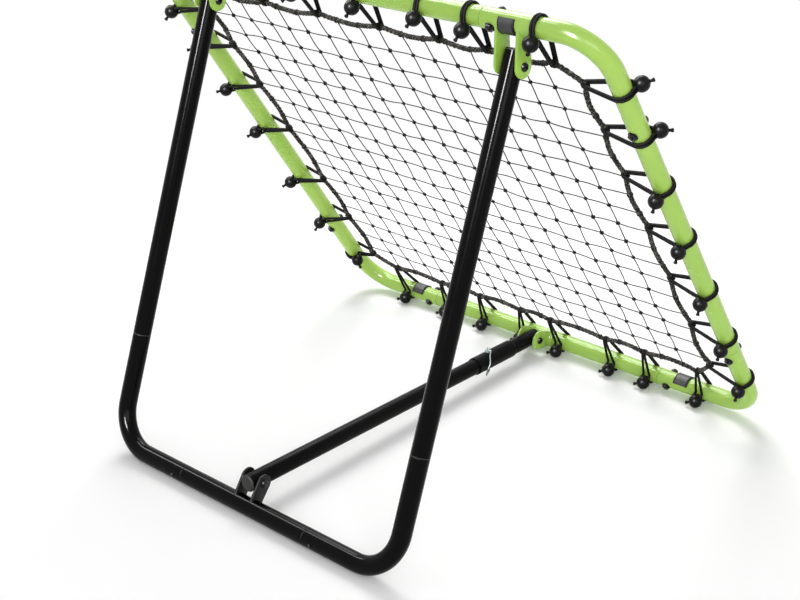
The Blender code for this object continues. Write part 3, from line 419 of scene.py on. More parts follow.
def tubeEnd(kind):
    # (depth into the tube, radius) from inside an end to the outer wall
    radius, bore, rim, lip = fit.tube, fit.bore, tubeLook.rim, tubeLook.lip
    narrow = bore - fit.spigotPlay
    inside = {"cut": [(lip, bore), (rim, bore), (0.3 * rim, bore + 0.3 * rim), (0.0, bore + 0.8 * rim)],
              "open": [(lip, bore), (rim, bore), (0.0, bore + 0.8 * rim)],
              "spigot": [(-tubeLook.spigot, narrow), (-tubeLook.shoulder, narrow),
                         (0.0, narrow + tubeLook.fillet)]}[kind]
    return inside + [(0.0, radius - rim), (0.3 * rim, radius - 0.3 * rim), (rim, radius),
                     (rim + tubeLook.flat, radius)]


def tube(shape, stations, side, edge):
    # Skins stations of (centre, tangent, radius). The outer rounding of both ends starts at ring edge and takes the
    # second finish: worn steel and darker metal rims on the legs, painted seam shade on the green frame
    rings, marks, run = [], [], 0.0
    for k, (centre, tangent, radius) in enumerate(stations):
        if k:
            run += max((centre - stations[k - 1][0]).length, abs(radius - stations[k - 1][2]))
        rings.append(circle(centre, tangent.cross(side), side, radius, tubeLook.sides))
        marks.append((run, 2 * pi * radius))
    last = len(rings) - 2
    shape.grid(rings, marks, lambda k, n: int(edge <= min(k, last - k) <= edge + 1))


def cornerTube(name, home, corner, first, second, reaches, bend, finishes, node):
    # A bent tube from a cut on the first way, round the corner, to a cut on the second
    runs = [[(corner + way * (bend + (reach - bend) * t), along, fit.tube) for t in tubeLook.runs]
            for way, along, reach in ((first, -first, reaches[0]), (second, second, reaches[1]))]
    ends = [[(corner + way * (reach - depth), along, radius) for depth, radius in tubeEnd("cut")]
            for way, along, reach in ((first, -first, reaches[0]), (second, second, reaches[1]))]
    centre = corner + (first + second) * bend
    arc = []
    for k in range(tubeLook.bendSteps + 1):
        angle = pi / 2 * k / tubeLook.bendSteps
        out = -(second * cos(angle) + first * sin(angle))
        arc.append((centre + out * bend, -first * cos(angle) + second * sin(angle), fit.tube))
    shape = Shape()
    tube(shape, ends[0] + runs[0] + arc + runs[1][::-1] + ends[1][::-1], yAxis, 4)
    piece(name, shape, home, finishes, [node], tubeLook.sharp)


def straightTube(shape, centre, axis, start, end, kinds=("spigot", "spigot")):
    stations = [(start + depth, radius) for depth, radius in tubeEnd(kinds[0])]
    stations += [(start + (end - start) * k / tubeLook.parts, fit.tube) for k in range(1, tubeLook.parts)]
    stations += [(end - depth, radius) for depth, radius in tubeEnd(kinds[1])][::-1]
    tube(shape, [(centre + axis * place, axis, radius) for place, radius in stations], yAxis, 3)


# Net frame: four corners and four straight tubes
def netFrame():
    reach = fit.seamReach - fit.gap / 2
    for level, up, height in (("bottom", zAxis, 0.0), ("top", -zAxis, fit.top)):
        for hand, way in hands:
            corner = xAxis * (way * fit.half) + zAxis * height
            cornerTube(f"greenCorner_{level}_{hand}", onNet, corner, xAxis * -way, up, (reach, reach), fit.bend,
                       [lime, limeShade], f"frame_corner_{level}_{hand}")
    half = fit.half - fit.seamReach - fit.gap / 2
    for side, middle, axis in (("bottom", 0.0, xAxis), ("top", 0.0, xAxis), ("left", fit.half, zAxis),
                               ("right", fit.half, zAxis)):
        shape = Shape()
        straightTube(shape, barPlace(side, middle), axis, -half, half)
        piece(f"greenTube_{side}", shape, onNet, [lime, limeShade], [f"frame_tube_{side}"],
              tubeLook.sharp)


netFrame()
print("net frame built")


# Bolts through the frame joints: a domed cap in front; a washer, a low nut and the thread's end behind. A profile
# in these settings is (place over the seat, radius)
boltLook = Settings(
    sink=0.0001, cap=[(0.0, 0.002), (0.0, 0.00725), (0.0009, 0.00725)], dome=(0.0009, 0.00725, 0.0076),
    washer=[(0.0, 0.002), (0.0, 0.0084), (0.0010, 0.0084), (0.0013, 0.0080), (0.0013, 0.002)],
    nut=[(0.0013, 0.0074), (0.0046, 0.0074), (0.0052, 0.006512), (0.0052, 0.0)],
    thread=[(0.0052, 0.003), (0.0066, 0.003), (0.0070, 0.0025), (0.0070, 0.0)], sides=(36, 36, 6, 20))


def frameBolts():
    look = boltLook
    reach = fit.half - fit.seamReach + fit.boltSetback
    lines = (look.cap + domed(*look.dome), look.washer, look.nut, look.thread)
    for hand, way in hands:
        for level, up in (("bottom", -1), ("top", 1)):
            for node, place in ((f"frame_bolt_{level}_{hand}", barPlace(level, way * reach)),
                                (f"frame_bolt_side_{level}_{hand}", barPlace(hand, fit.half + up * reach))):
                shape = Shape()
                for line, axis, sides in zip(lines, (-yAxis, yAxis, yAxis, yAxis), look.sides):
                    lathe(shape, place, axis, xAxis, raised(fit.flat - look.sink, line), sides)
                piece(f"jointBolt_{node[12:]}", shape, onNet, [oxide], [node], sharp=35.0)


frameBolts()


# Flat ears with rounded tips, bevelled all round, seated on a bar at the origin of the YZ plane
earLook = Settings(steps=22, bevel=0.0007, soft=0.3, sharp=45.0)


def earOutline(seatRadius, pivot, tip, seatAngle):
    aim, steps = atan2(pivot.z, pivot.y), earLook.steps
    points = [pivot + polar(tip, aim - pi / 2 + pi * k / steps) for k in range(steps + 1)]
    return points + [polar(seatRadius, aim + seatAngle - 2 * seatAngle * k / steps) for k in range(steps + 1)]


def plateInto(shape, outline, start, thickness, bevel=earLook.bevel, slot=0):
    count = len(outline)
    after = outline[1:] + outline[:1]
    edges = [(after[k] - outline[k - 1]).normalized() for k in range(count)]
    sign = 1 if sum(p.y * q.z - q.y * p.z for p, q in zip(outline, after)) > 0 else -1
    rings, marks, soft = [], [], earLook.soft * bevel
    for inset, place in ((bevel, 0.0), (soft, soft), (0.0, bevel), (0.0, thickness - bevel),
                         (soft, thickness - soft), (bevel, thickness)):
        rings.append([p - Vector((0, edge.z, -edge.y)) * (sign * inset) + xAxis * (start + place)
                      for p, edge in zip(outline, edges)])
        marks.append((place, 0.1))
    shape.grid(rings, marks, slot)
    shape.cap(rings[0][::-1], slot)
    shape.cap(rings[-1], slot)


# A weld bead along the foot of an ear: a lumpy little roll on both faces
beadLook = Settings(
    steps=26, sides=8, sunk=0.0002, radius=0.0013, end=0.0006, lump=0.00035, pace=2.1, uneven=0.00012, share=0.6)


def weldBead(shape, barRadius, aim, spread, faceX, seed, slot=0):
    rng = Random(seed)
    points, radii, steps = [], [], beadLook.steps
    for k in range(steps + 1):
        lump = beadLook.lump * sin(k * beadLook.pace) + rng.uniform(-beadLook.uneven, beadLook.uneven)
        points.append(polar(barRadius + beadLook.sunk, aim - spread + 2 * spread * k / steps) + xAxis * faceX)
        radii.append(beadLook.radius + lump * beadLook.share if 0 < k < steps else beadLook.end)
    sweep(shape, points, radii, beadLook.sides, slot=slot)


def earPair(shape, outline, bar, aim, spread, seed, slot=0):
    # The two ears beside the strut, with a bead on each face
    inner = fit.strutRadius + fit.strutEarGap
    outer = inner + fit.ear
    for start in (inner, -outer):
        plateInto(shape, outline, start, fit.ear, slot=slot)
    for k, face in enumerate((inner, outer, -inner, -outer)):
        weldBead(shape, bar, aim, spread, face, seed + k, slot)


# Pivot bolts: button heads with a six-sided socket, on a plain shank
headLook = Settings(
    line=((0.0, 0.003), (0.0, 0.0066), (0.0004, 0.007), (0.0011, 0.007), (0.0024240, 0.0067632),
          (0.0035390, 0.0060901), (0.0042689, 0.0050871), (0.0044915, 0.0042122), (0.0044, 0.0026)),
    key=((0.0044, 0.0026), (0.0022, 0.0024), (0.0020, 0.0)), sides=30, shank=0.004, shankSides=20)


def pivotHead(shape, centre, way, seat):
    lathe(shape, centre, way, yAxis, raised(seat, headLook.line), headLook.sides)
    lathe(shape, centre, way, yAxis, raised(seat, headLook.key), 6, 1)


def pivotBolt(name, centre, seat, node):
    shape = Shape()
    for way in (xAxis, -xAxis):
        pivotHead(shape, centre, way, seat)
    lathe(shape, centre, xAxis, yAxis, [(-seat, headLook.shank), (seat, headLook.shank)], headLook.shankSides)
    piece(name, shape, onNet, [oxide, capBlack], [node])


# Hinges on the top bar: two ears beside each leg, and the bolt it swings on
hingeLook = Settings(seat=0.0002, spread=radians(72.0), bead=radians(64.0), seeds={"left": 6, "right": 5})


def hinges():
    inner = fit.tube + fit.earGap
    top = zAxis * fit.top
    pivot = yAxis * fit.hingeBack - zAxis * fit.hingeDrop
    aim = atan2(pivot.z, pivot.y)
    outline = earOutline(fit.tube - hingeLook.seat, pivot, fit.hingeTip, hingeLook.spread)
    for hand, way in hands:
        place = way * fit.legX
        for out, start in ((1, place + inner), (-1, place - inner - fit.ear)):
            away = "outer" if out == way else "inner"
            ear, shape = Shape(), Shape()
            plateInto(ear, outline, start, fit.ear)
            outside = start + (fit.ear if out == 1 else 0.0)
            weldBead(ear, fit.tube, aim, hingeLook.bead, outside, hingeLook.seeds[hand])
            shape.take(ear, top)
            piece(f"hingeEar_{away}_{hand}", shape, onNet, [lime], [f"hinge_ear_{away}_{hand}"],
                  earLook.sharp)
        pivotBolt(f"hingePin_{hand}", xAxis * place + pivot + top, inner + fit.ear, f"hinge_bolt_{hand}")


hinges()


# Pads: clipped half sleeves of grey rubber with a rolled edge; the edges, ends and underside are painted near black
# as shade. The section runs from one edge to the middle, as (place across, share of the thickness)
padLook = Settings(
    width=0.030, thick=0.0025, steps=30, seat=0.0002,
    section=((0.0, 0.0), (0.0, 0.6), (0.0006, 0.9), (0.0012, 1.0), (0.0028, 1.0), (0.0032, 0.86)), grey=(4, 6),
    top=(radians(67.0) - pi / 2, radians(180.0)), bottom=(pi / 2 + fit.lean, radians(150.0)))


def pads():
    half, inner = padLook.width / 2, fit.tube + padLook.seat
    section = [(-half + x, share) for x, share in padLook.section]
    section += [(half - x, share) for x, share in padLook.section[::-1]]
    first, last = padLook.grey
    for level in ("top", "bottom"):
        centre, spread = padLook[level]
        for hand, way in hands:
            place = barPlace(level, way * fit.legX)
            rings = []
            for k in range(padLook.steps + 1):
                angle = centre - spread / 2 + spread * k / padLook.steps
                rings.append([place + xAxis * x + polar(inner + padLook.thick * share, angle)
                              for x, share in section])
            shape = Shape()
            # Faces outside the grey top band take the near-black edge finish, a painted shade
            shape.grid(rings, [(0.0, 0.0)] * len(rings), lambda k, n: 0 if first <= n <= last else 1)
            shape.cap(rings[0], 1)
            shape.cap(rings[-1][::-1], 1)
            piece(f"pad_{level}_{hand}", shape, onNet, [padRubber, padEdgeShade], [f"{level}_pad_{hand}"])


pads()


# Front strut bracket: a saddle on the bottom bar with two ears, and its bolt
bracketLook = Settings(
    seat=0.0001, wall=0.0025, half=0.030, spread=radians(150.0), steps=30, bevel=0.0006, tip=0.019,
    earSpread=radians(60.0), bead=radians(52.0), seed=20)


def frontBracket():
    look = bracketLook
    pivot = yAxis * fit.frontBack + zAxis * fit.frontUp
    aim = atan2(pivot.z, pivot.y)
    low = fit.tube + look.seat
    high = low + look.wall
    turns = [look.spread * k / look.steps - look.spread / 2 for k in range(look.steps + 1)]
    shape = Shape()
    outline = [polar(high, aim + turn) for turn in turns] + [polar(low, aim - turn) for turn in turns]
    plateInto(shape, outline, -look.half, 2 * look.half, look.bevel)
    outline = earOutline(low + look.wall / 2, pivot, look.tip, look.earSpread)
    earPair(shape, outline, high, aim, look.bead, look.seed)
    piece("strutBracketFront", shape, onNet, [lime], ["strut_bracket_front"], earLook.sharp)
    pivotBolt("strutPinFront", pivot, fit.strutRadius + fit.strutEarGap + fit.ear, "strut_bolt_front")


frontBracket()
print("brackets built")


def plug(name, home, centre, axis, top, profile, material, node):
    # A tube's end cap; profile holds (place over the tube's end, radius)
    shape = Shape()
    lathe(shape, centre, axis, xAxis, raised(top, profile), 40)
    piece(name, shape, home, [material], [node], sharp=35.0)


# Legs: two leg tubes, two bent corners and the bottom tube with its welded ears
legLook = Settings(
    plug=((-0.008, 0.0141), (0.0, 0.0141), (0.0002, 0.0156), (0.0009, 0.0157), (0.0016, 0.0150), (0.0024, 0.0128),
          (0.0029, 0.0090), (0.0031, 0.0045), (0.0031, 0.0)), sink=0.0006, tip=0.015, earSpread=radians(60.0),
    bead=radians(50.0), seed=40, shank=((-0.0015, 0.0), (-0.0015, 0.0036), (-0.0011, 0.004)))


def legFrame():
    look, gap = legLook, fit.gap / 2
    for hand, way in hands:
        side = xAxis * way
        shape = Shape()
        straightTube(shape, side * fit.legX, zAxis, gap + fit.legSeam - fit.leg, fit.legOverrun,
                     ("spigot", "open"))
        piece(f"legTube_{hand}", shape, onLegs, [black, wornRim], [f"leg_tube_{hand}"],
              tubeLook.sharp)
        cornerTube(f"legCorner_{hand}", onLegs, side * fit.legX + foot, zAxis, -side,
                   (fit.legSeam - gap, fit.footSeam - gap), fit.legBend, [black, rimDark],
                   f"leg_corner_{hand}")
        plug(f"legPlug_{hand}", onLegs, side * fit.legX, zAxis, fit.legOverrun, look.plug, capBlack,
             f"leg_end_cap_{hand}")
    half = fit.legX - fit.footSeam - gap
    shape, ears = Shape(), Shape()
    straightTube(shape, foot, xAxis, -half, half)
    pivot = yAxis * fit.rearBack + zAxis * fit.rearUp
    outline = earOutline(fit.tube - look.sink, pivot, look.tip, look.earSpread)
    earPair(ears, outline, fit.tube, atan2(pivot.z, pivot.y), look.bead, look.seed, 2)
    shape.take(ears, foot)
    piece("legBottomTube", shape, onLegs, [black, rimDark, earBlack], ["leg_bottom_tube"],
          earLook.sharp)
    inner = fit.strutRadius + fit.strutEarGap
    seat = inner + fit.ear
    for end, way in (("Head", xAxis), ("Nut", -xAxis)):
        bolt = Shape()
        pivotHead(bolt, pivot + foot, way, seat)
        shank = raised(inner, look.shank) + [(seat, headLook.shank)]
        lathe(bolt, pivot + foot, way, yAxis, shank, headLook.shankSides)
        piece(f"rearPin{end}", bolt, onLegs, [oxide, wornRim], [f"strut_bolt_rear_{end.lower()}"])


legFrame()
print("legs built")


# Spring buttons: domes standing out of their holes, bright on the legs and dark on the foot tube
buttonLook = Settings(
    line=[(0.0099, 0.0), (0.0099, 0.0045), (0.0109, 0.0045), (0.0109, 0.003), (0.0169, 0.003)],
    dome=(0.0169, 0.003, 0.0021), sides=30)


def buttons():
    rise = zAxis * -(fit.leg - fit.legSeam + fit.snapSetback)
    footX = fit.legX - fit.footSeam + fit.snapSetback
    back = yAxis * cos(fit.legLean) - zAxis * sin(fit.legLean)
    profile = buttonLook.line + domed(*buttonLook.dome)
    for level, finish in (("leg", zinc), ("foot", oxide)):
        for hand, way in hands:
            place, out, run = xAxis * (way * fit.legX) + rise, xAxis, zAxis
            if level == "foot":
                place, out, run = xAxis * (way * footX) + foot, back, xAxis * -way
            name = f"{level}_{hand}"
            shape = Shape()
            lathe(shape, place, out, run, profile, buttonLook.sides)
            piece(f"button_{name}", shape, (legPlane, f"{name}_button"), [finish], [f"{name}_button"],
                  sharp=35.0)
            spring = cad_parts[f"{name}_spring"]
            spring.data.materials.clear()
            spring.data.materials.append(zinc)


buttons()


# Strut: a long tube in a wider socket with a stepped neck
strutLook = Settings(
    overrun=0.012, neck=0.066, step=0.004, socketEnd=0.179, tubeStart=0.085, tubeOverrun=0.018, wall=0.0012,
    rim=0.0005, worn=0.0008, soft=0.0003, edge=0.001, stations=(0.17, 0.4, 0.6), play=0.0003, lip=0.01, sides=56,
    sharp=45.0,
    plug=((-0.008, 0.0135), (0.0001, 0.0135), (0.0002, 0.0147), (0.0008, 0.0149), (0.0014, 0.0144),
          (0.0020, 0.0125), (0.0024, 0.0115), (0.0021, 0.0108), (0.0021, 0.0)))


def strut():
    look, radius, socket = strutLook, fit.strutRadius, fit.socket
    start, neck, end = -look.overrun, look.neck, look.socketEnd
    bore, rim, lip, play = radius - look.wall, look.rim, look.lip, look.play
    profile = [(start + 2 * lip, bore), (start + rim, bore), (start, radius - look.worn), (start, radius - rim),
               (start + rim, radius), (start + 2 * rim, radius), (neck * 0.5, radius), (neck - look.edge, radius)]
    profile += [(neck + look.step * k / 6, radius + (socket - radius) * (0.5 - 0.5 * cos(pi * k / 6)))
                for k in range(7)]
    profile += [(neck + look.step + look.edge, socket), ((neck + end) / 2, socket), (end - 2 * rim, socket),
                (end - rim, socket), (end, socket - rim), (end, radius + rim), (end - rim, radius + play),
                (end - lip, radius + play)]
    last = strutSpan + look.tubeOverrun
    slide = [(look.tubeStart, bore)] + [(place, radius) for place in (look.tubeStart, *look.stations)]
    slide += [(last - look.edge, radius), (last - look.soft, radius - look.soft), (last, radius - 2 * look.soft),
              (last, bore), (last - lip, bore)]
    for name, node, line in (("strutSocket", "strut_socket", profile), ("strutTube", "strut_tube", slide)):
        shape = Shape()
        lathe(shape, zero, yAxis, xAxis, line, look.sides)
        piece(name, shape, onStrut, [strutBlack], [node], look.sharp)
    plug("strutPlug", onStrut, zero, yAxis, last, look.plug, capPlastic, "strut_end_cap")


strut()


# Lock pin, with a small ring standing on its head, and the wire bail that is sprung under the strut to its tip.
# Its point is (place over the lower end, share of the radius)
pinLook = Settings(
    reach=0.137, radius=0.003, head=0.0065, headHeight=0.003, headRound=0.0004, headTop=0.0005, play=0.0003,
    under=0.0167, tip=0.008, point=((0.0, 0.0), (0.0, 0.55), (0.0006, 0.8), (0.0022, 1.0)), sides=36,
    eye=0.0028, ring=0.0029, ringWire=0.0011, ringParts=28, ringSides=10)
bailLook = Settings(wire=0.0013, half=0.0015, room=0.0006, touch=0.0001, low=0.55, step=0.0012, sides=12)


def lockPin():
    look, pin, head = pinLook, pinLook.radius, pinLook.head
    place = yAxis * look.reach
    seat = fit.socket * cos(pi / 12) + fit.gap + look.play
    low, top = -look.under - look.tip, seat + look.headHeight
    profile = [(low + place, pin * share) for place, share in look.point]
    profile += [(seat, pin), (seat, head - look.headRound), (seat + look.headRound, head),
                (top - look.headTop, head), (top, head - look.headTop), (top, 0.0)]
    shape = Shape()
    lathe(shape, place, zAxis, xAxis, profile, look.sides)
    eyeZ = fit.socketFlat + look.headHeight + look.eye
    origin = place + zAxis * eyeZ
    sweep(shape, circle(origin, xAxis, zAxis, look.ring, look.ringParts), look.ringWire, look.ringSides,
          closed=True)
    piece("lockPin", shape, (strutPlane, "lock_pin"), [zinc], ["lock_pin"])

    # Through the ring, over the head, out round the socket and back to the pin's tip
    wire, half, gap = bailLook.wire, bailLook.half, bailLook.room
    clear = fit.socket + wire + gap
    low = -fit.socketFlat - bailLook.low * look.tip
    route = [(0.0, -half - 0.0018, 0.0), (0.0, 0.0, 0.0), (0.0, half + 0.001, 0.0), (-0.003, half + 0.0022, 0.0),
             (-head - wire - gap, half + 0.001, -gap), (-clear * 0.62, half + 0.007, clear * 0.84 - eyeZ),
             (-clear * 1.02, 0.017, clear * 0.2 - eyeZ), (-clear * 0.98, 0.023, -clear * 0.42 - eyeZ),
             (-clear * 0.72, 0.021, low * 1.02 - eyeZ), (-clear * 0.45, 0.010, low - eyeZ),
             (-pin - wire - bailLook.touch, 0.0, low - eyeZ + 0.0004)]
    bail = Shape()
    sweep(bail, smoothRun([origin + Vector(p) for p in route], bailLook.step), wire, bailLook.sides)
    piece("pinBail", bail, (strutPlane, "pin_bail"), [zinc], ["pin_bail"])


lockPin()
print("strut and pin built")


# Lacing: where each loop holds the rope, where its ball sits, and the ball's angle round the bar. The bottom
# bar's balls stand on the floor
insets = {"top": 0.074, "bottom": 0.074, "left": 0.066, "right": 0.066}
drop = fit.rise - fit.ball
floorAngle = 90.0 - degrees(fit.lean) + degrees(atan2(drop, (fit.ballSeat ** 2 - drop ** 2) ** 0.5))
loops = {
    "top": ((0.362, 0.370, 88.0), (0.235, 0.228, 88.0), (0.109, 0.103, 88.0), (-0.030, -0.031, 84.0),
            (-0.155, -0.161, 92.0), (-0.251, -0.252, 80.0), (-0.375, -0.379, 82.0)),
    "bottom": tuple((hold, ball, floorAngle) for hold, ball in (
        (0.363, 0.356), (0.237, 0.245), (0.135, 0.144), (0.030, 0.0445), (-0.0445, -0.048), (-0.177, -0.175),
        (-0.265, -0.256), (-0.382, -0.372))),
    "left": ((0.844, 0.841, 120.0), (0.749, 0.746, 118.0), (0.640, 0.631, 118.0), (0.514, 0.507, 116.0),
             (0.357, 0.349, 118.0), (0.233, 0.218, 102.0), (0.105, 0.085, 40.0)),
    "right": ((0.861, 0.866, 218.0), (0.762, 0.766, 218.0), (0.655, 0.648, 98.0), (0.521, 0.519, 100.0),
              (0.384, 0.376, 98.0), (0.245, 0.237, 100.0), (0.115, 0.106, 100.0)),
}

# Three laid strands and a thin lashing round them; the real lay of 8 mm is drawn at 24 mm so that it shows
ropeLook = Settings(
    radius=0.0035, sag=0.010, shares=(0.14, 0.3, 0.5, 0.7, 0.86), step=0.0022, sides=7, strands=3, strand=0.0023,
    off=0.0021, lay=0.024, uneven=0.10, lash=0.0007, lashes=2, lashLay=0.013, lashOff=0.0001, lashSides=5, seed=7,
    sharp=60.0)


def sagOf(share):
    # Pointed at the loops, rounded between them
    return ropeLook.sag * (1 - abs(2 * share - 1) ** 1.6)


def ropePoints():
    points = []
    for side, step in (("top", 1), ("right", 1), ("bottom", -1), ("left", -1)):
        holds = [hold for hold, _, _ in loops[side]][::step]
        for k, hold in enumerate(holds):
            points.append(barPlace(side, hold, insets[side]))
            if k + 1 < len(holds):
                for share in ropeLook.shares:
                    points.append(barPlace(side, hold + (holds[k + 1] - hold) * share, insets[side] + sagOf(share)))
    return points


def insetAt(side, along):
    holds = sorted(hold for hold, _, _ in loops[side])
    for low, high in zip(holds, holds[1:]):
        if low <= along <= high:
            return insets[side] + sagOf((along - low) / (high - low))
    return insets[side]


def ropePiece():
    look, points = ropeLook, ropePoints()
    closed = smoothRun([points[-1]] + points + [points[0], points[1]], look.step)
    start = min(range(len(closed)), key=lambda k: (closed[k] - points[0]).length)
    tail = closed[start:]
    end = min(range(len(tail) // 2, len(tail)), key=lambda k: (tail[k] - points[0]).length)
    run = tail[:end]
    count = len(run)
    whole = sum((run[k] - run[k - 1]).length for k in range(count))
    strand = (whole / look.lay, look.off, look.strand, look.sides)
    lash = (-whole / look.lashLay, look.radius + look.lashOff, look.lash, look.lashSides)
    rng = Random(look.seed)
    shape = Shape()
    for number, (turns, off, thick, sides) in ([(k / look.strands, strand) for k in range(look.strands)]
                                               + [(k / look.lashes, lash) for k in range(look.lashes)]):
        line, radii = [], []
        for k, point in enumerate(run):
            tangent = (run[(k + 1) % count] - run[k - 1]).normalized()
            across = tangent.cross(yAxis).normalized()
            angle = 2 * pi * (number + round(turns) * k / count)
            loose = 1 + rng.uniform(-1, 1) * look.uneven
            line.append(point + (across * cos(angle) + yAxis * sin(angle)) * (off * loose))
            radii.append(thick * (1 + rng.uniform(-1, 1) * look.uneven))
        sweep(shape, line, radii, sides, closed=True)
    piece("edgeRope", shape, onNet, [ropeBraid], ["edge_rope_loops"], look.sharp)


ropePiece()
print("rope built")

# Each elastic is doubled: two cords side by side all the way round, spread apart by the half widths atRope, onBar
# and atBall. The collar and the mouth of a ball are (share of its radius along, radius)
loopLook = Settings(
    radius=0.0024, mouth=radians(33.0), atRope=0.0020, onBar=0.0026,
    atBall={"top": 0.0026, "bottom": 0.0085, "left": 0.0058, "right": 0.0036}, sunk=0.0001, arc=radians(11.0),
    drift=(0.05, 0.35), shares=(0.2, 0.4, 0.6, 0.8), entry=(0.35, 0.72), turn=6, ease=5, step=0.004, sides=8,
    bight=(-1.15, -0.9, -0.6, -0.3, 0.0, 0.3, 0.6, 0.9, 1.15), bightTilt=0.0012, tail=0.0068, tailRadius=0.0024,
    crimp=0.0032, crimpLong=0.0031, crimpRound=0.0004,
    collar=((0.80, 0.0052), (0.98, 0.0048), (1.12, 0.0038), (1.18, 0.0020), (1.18, 0.0)),
    ballMouth=((0.945, 0.30), (0.985, 0.235), (0.985, 0.17), (0.93, 0.13), (0.7, 0.12)), ballSides=32, seed=11,
    sharp=60.0)


def loopRun(side, hold, ball, ballAngle, way):
    look, distance = loopLook, insets[side]
    ropeWrap = ropeLook.radius + 0.5 * look.radius
    barWrap = fit.tube + look.sunk + look.radius
    leave = acos((barWrap - ropeWrap) / distance)
    angle, mouth = radians(ballAngle), look.mouth
    apart = barPlace(side, 1.0) - barPlace(side, 0.0)
    onBall, onBar, onRope = look.atBall[side], look.onBar, look.atRope
    little, much = look.drift

    def bar(turn, share):
        return barPlace(side, ball + (hold - ball) * share, barWrap * cos(turn), barWrap * sin(turn))

    def rope(turn):
        return barPlace(side, hold, distance + ropeWrap * cos(turn), ropeWrap * sin(turn))

    def arc(start, end, low, high):
        steps = max(2, ceil(abs(end - start) / look.arc))
        return [bar(start + (end - start) * k / steps, low + (high - low) * k / steps) for k in range(steps + 1)]

    centre = barPlace(side, ball, fit.ballSeat * cos(angle), fit.ballSeat * sin(angle))
    near = arc(angle - mouth, leave, little, much) if angle - mouth > leave else [bar(angle - mouth, 2 * little)]
    near += [near[-1].lerp(rope(leave), t) for t in look.shares]
    turn = [rope(leave * (1 - k / look.turn)) for k in range(2 * look.turn + 1)]
    far = [turn[-1].lerp(bar(-leave, much), t) for t in look.shares]
    far += arc(-leave, -(2 * pi - angle - mouth), much, little)
    run = [centre.lerp(near[0], t) for t in look.entry] + near + turn + far
    run += [centre.lerp(far[-1], t) for t in look.entry[::-1]]
    before, after = len(near) + 2, len(near) + len(turn) + 2
    out = []
    for k, point in enumerate(run):
        if k < before:
            half = onBall + (onRope - onBall) * k / before
        elif k < after:
            half = onRope
        else:
            half = onRope + (onBar - onRope) * min(1.0, (k - after) / look.ease)
        out.append(point + apart * (way * half))
    return out


def loopPieces():
    look, r = loopLook, fit.ball
    cords, balls = Shape(), Shape()
    rng = Random(look.seed)
    wide, clear = look.atRope + look.radius, ropeLook.radius + 1.1 * look.radius
    end, thin, fat = r + look.tail, look.tailRadius, look.crimp
    tail = [(r * 0.7, thin), (end - look.crimpLong - 0.0003, thin), (end - look.crimpLong, fat),
            (end - look.crimpRound, fat), (end, fat * 0.8), (end, 0.0)]
    collar = [(r * place, radius) for place, radius in look.collar]
    surfaceLine = [(-r, 0.0)] + [(-r * cos(pi * k / 22), r * sin(pi * k / 22)) for k in range(1, 19)]
    surfaceLine += [(r * place, r * radius) for place, radius in look.ballMouth]
    for side, entries in loops.items():
        along = barPlace(side, 1.0) - barPlace(side, 0.0)
        inward = barPlace(side, 0.0, 1.0) - barPlace(side, 0.0)
        for hold, ball, angle in entries:
            for way in (-1, 1):
                run = loopRun(side, hold, ball, angle, way)
                sweep(cords, smoothRun(run, look.step), look.radius, look.sides)
            # The bight of the hitch lies across both cords on the bar's side of the rope
            bight = [barPlace(side, hold + wide * t, insets[side] - clear * (1 - 0.35 * t * t), look.bightTilt * t)
                     for t in look.bight]
            sweep(cords, bight, look.radius * 0.9, look.sides)
            out = (inward * cos(radians(angle)) + yAxis * sin(radians(angle))).normalized()
            centre = barPlace(side, ball) + out * fit.ballSeat
            # The cord's crimped end stands out of the far side of the ball, and under the bottom bar out of its side
            tilt = (out + along * rng.uniform(-0.5, 0.5)).normalized()
            if side == "bottom":
                tilt = (along * 0.9 + yAxis * 0.5).normalized()
            across = tilt.orthogonal().normalized()
            lathe(cords, centre, tilt, across, tail, 10)
            # The collar where both cords go in
            neck = (-out * 0.9 + inward * (0.35 if side != "right" or angle < 180 else -0.1)).normalized()
            lathe(cords, centre, neck, neck.orthogonal().normalized(), collar, 12)
            lathe(balls, centre, tilt, across, surfaceLine, look.ballSides)
    piece("elasticLoops", cords, onNet, [elastic], ["edge_rope_loops"], look.sharp)
    piece("cordBalls", balls, onNet, [ballPlastic], ["edge_rope_loops"] + [f"floor_ball_{k}" for k in range(1, 9)],
          look.sharp / 2)


loopPieces()
print("loops and balls built")

# Net: twine between knots, a knot at each crossing and a hitch round the rope at each end
netLook = Settings(
    pitch=0.047, lines=16, radius=0.0009, sides=6, jitter=0.0016, bow=0.0012, seed=5, knotLong=0.0040,
    knotWide=0.0024, knotTwine=0.0014, knotParts=20, knotTurn=radians(62.0), hitch=0.0043, hitchTwine=0.0008,
    hitchApart=0.0009, hitchParts=20, least=0.92, sharp=60.0)
netEdge = ropeLook.radius + netLook.radius * 0.4


def netNodes():
    rng = Random(netLook.seed)
    lines, pitch = netLook.lines, netLook.pitch
    spots = [(k - (lines - 1) / 2) * pitch for k in range(lines)]
    nodes = {}
    for column, across in enumerate(spots):
        for row, up in enumerate(spots):
            slip = [rng.uniform(-1, 1) * netLook.jitter for _ in range(3)]
            nodes[column, row] = Vector((across + slip[0], slip[1] * 0.8, fit.half + up + slip[2]))
        for row, side in ((-1, "bottom"), (lines, "top")):
            nodes[column, row] = barPlace(side, across, insetAt(side, across) + netEdge)
    for row, up in enumerate(spots):
        height = fit.half + up
        for column, side in ((-1, "right"), (lines, "left")):
            nodes[column, row] = barPlace(side, height, insetAt(side, height) + netEdge)
    return nodes


def inNet(key):
    return 0 <= min(key) and max(key) < netLook.lines


def netStrands(nodes):
    shape = Shape()
    rng = Random(netLook.seed + 1)
    for key, point in nodes.items():
        for way in ((1, 0), (0, 1)):
            other = (key[0] + way[0], key[1] + way[1])
            if other in nodes and (inNet(key) or inNet(other)):
                bow = Vector([rng.uniform(-1, 1) for _ in range(3)]) * netLook.bow
                run = [point.lerp(nodes[other], t) + bow * (4 * t * (1 - t)) for t in (0, 0.25, 0.5, 0.75, 1)]
                sweep(shape, run, netLook.radius, netLook.sides, caps=False)
    return shape


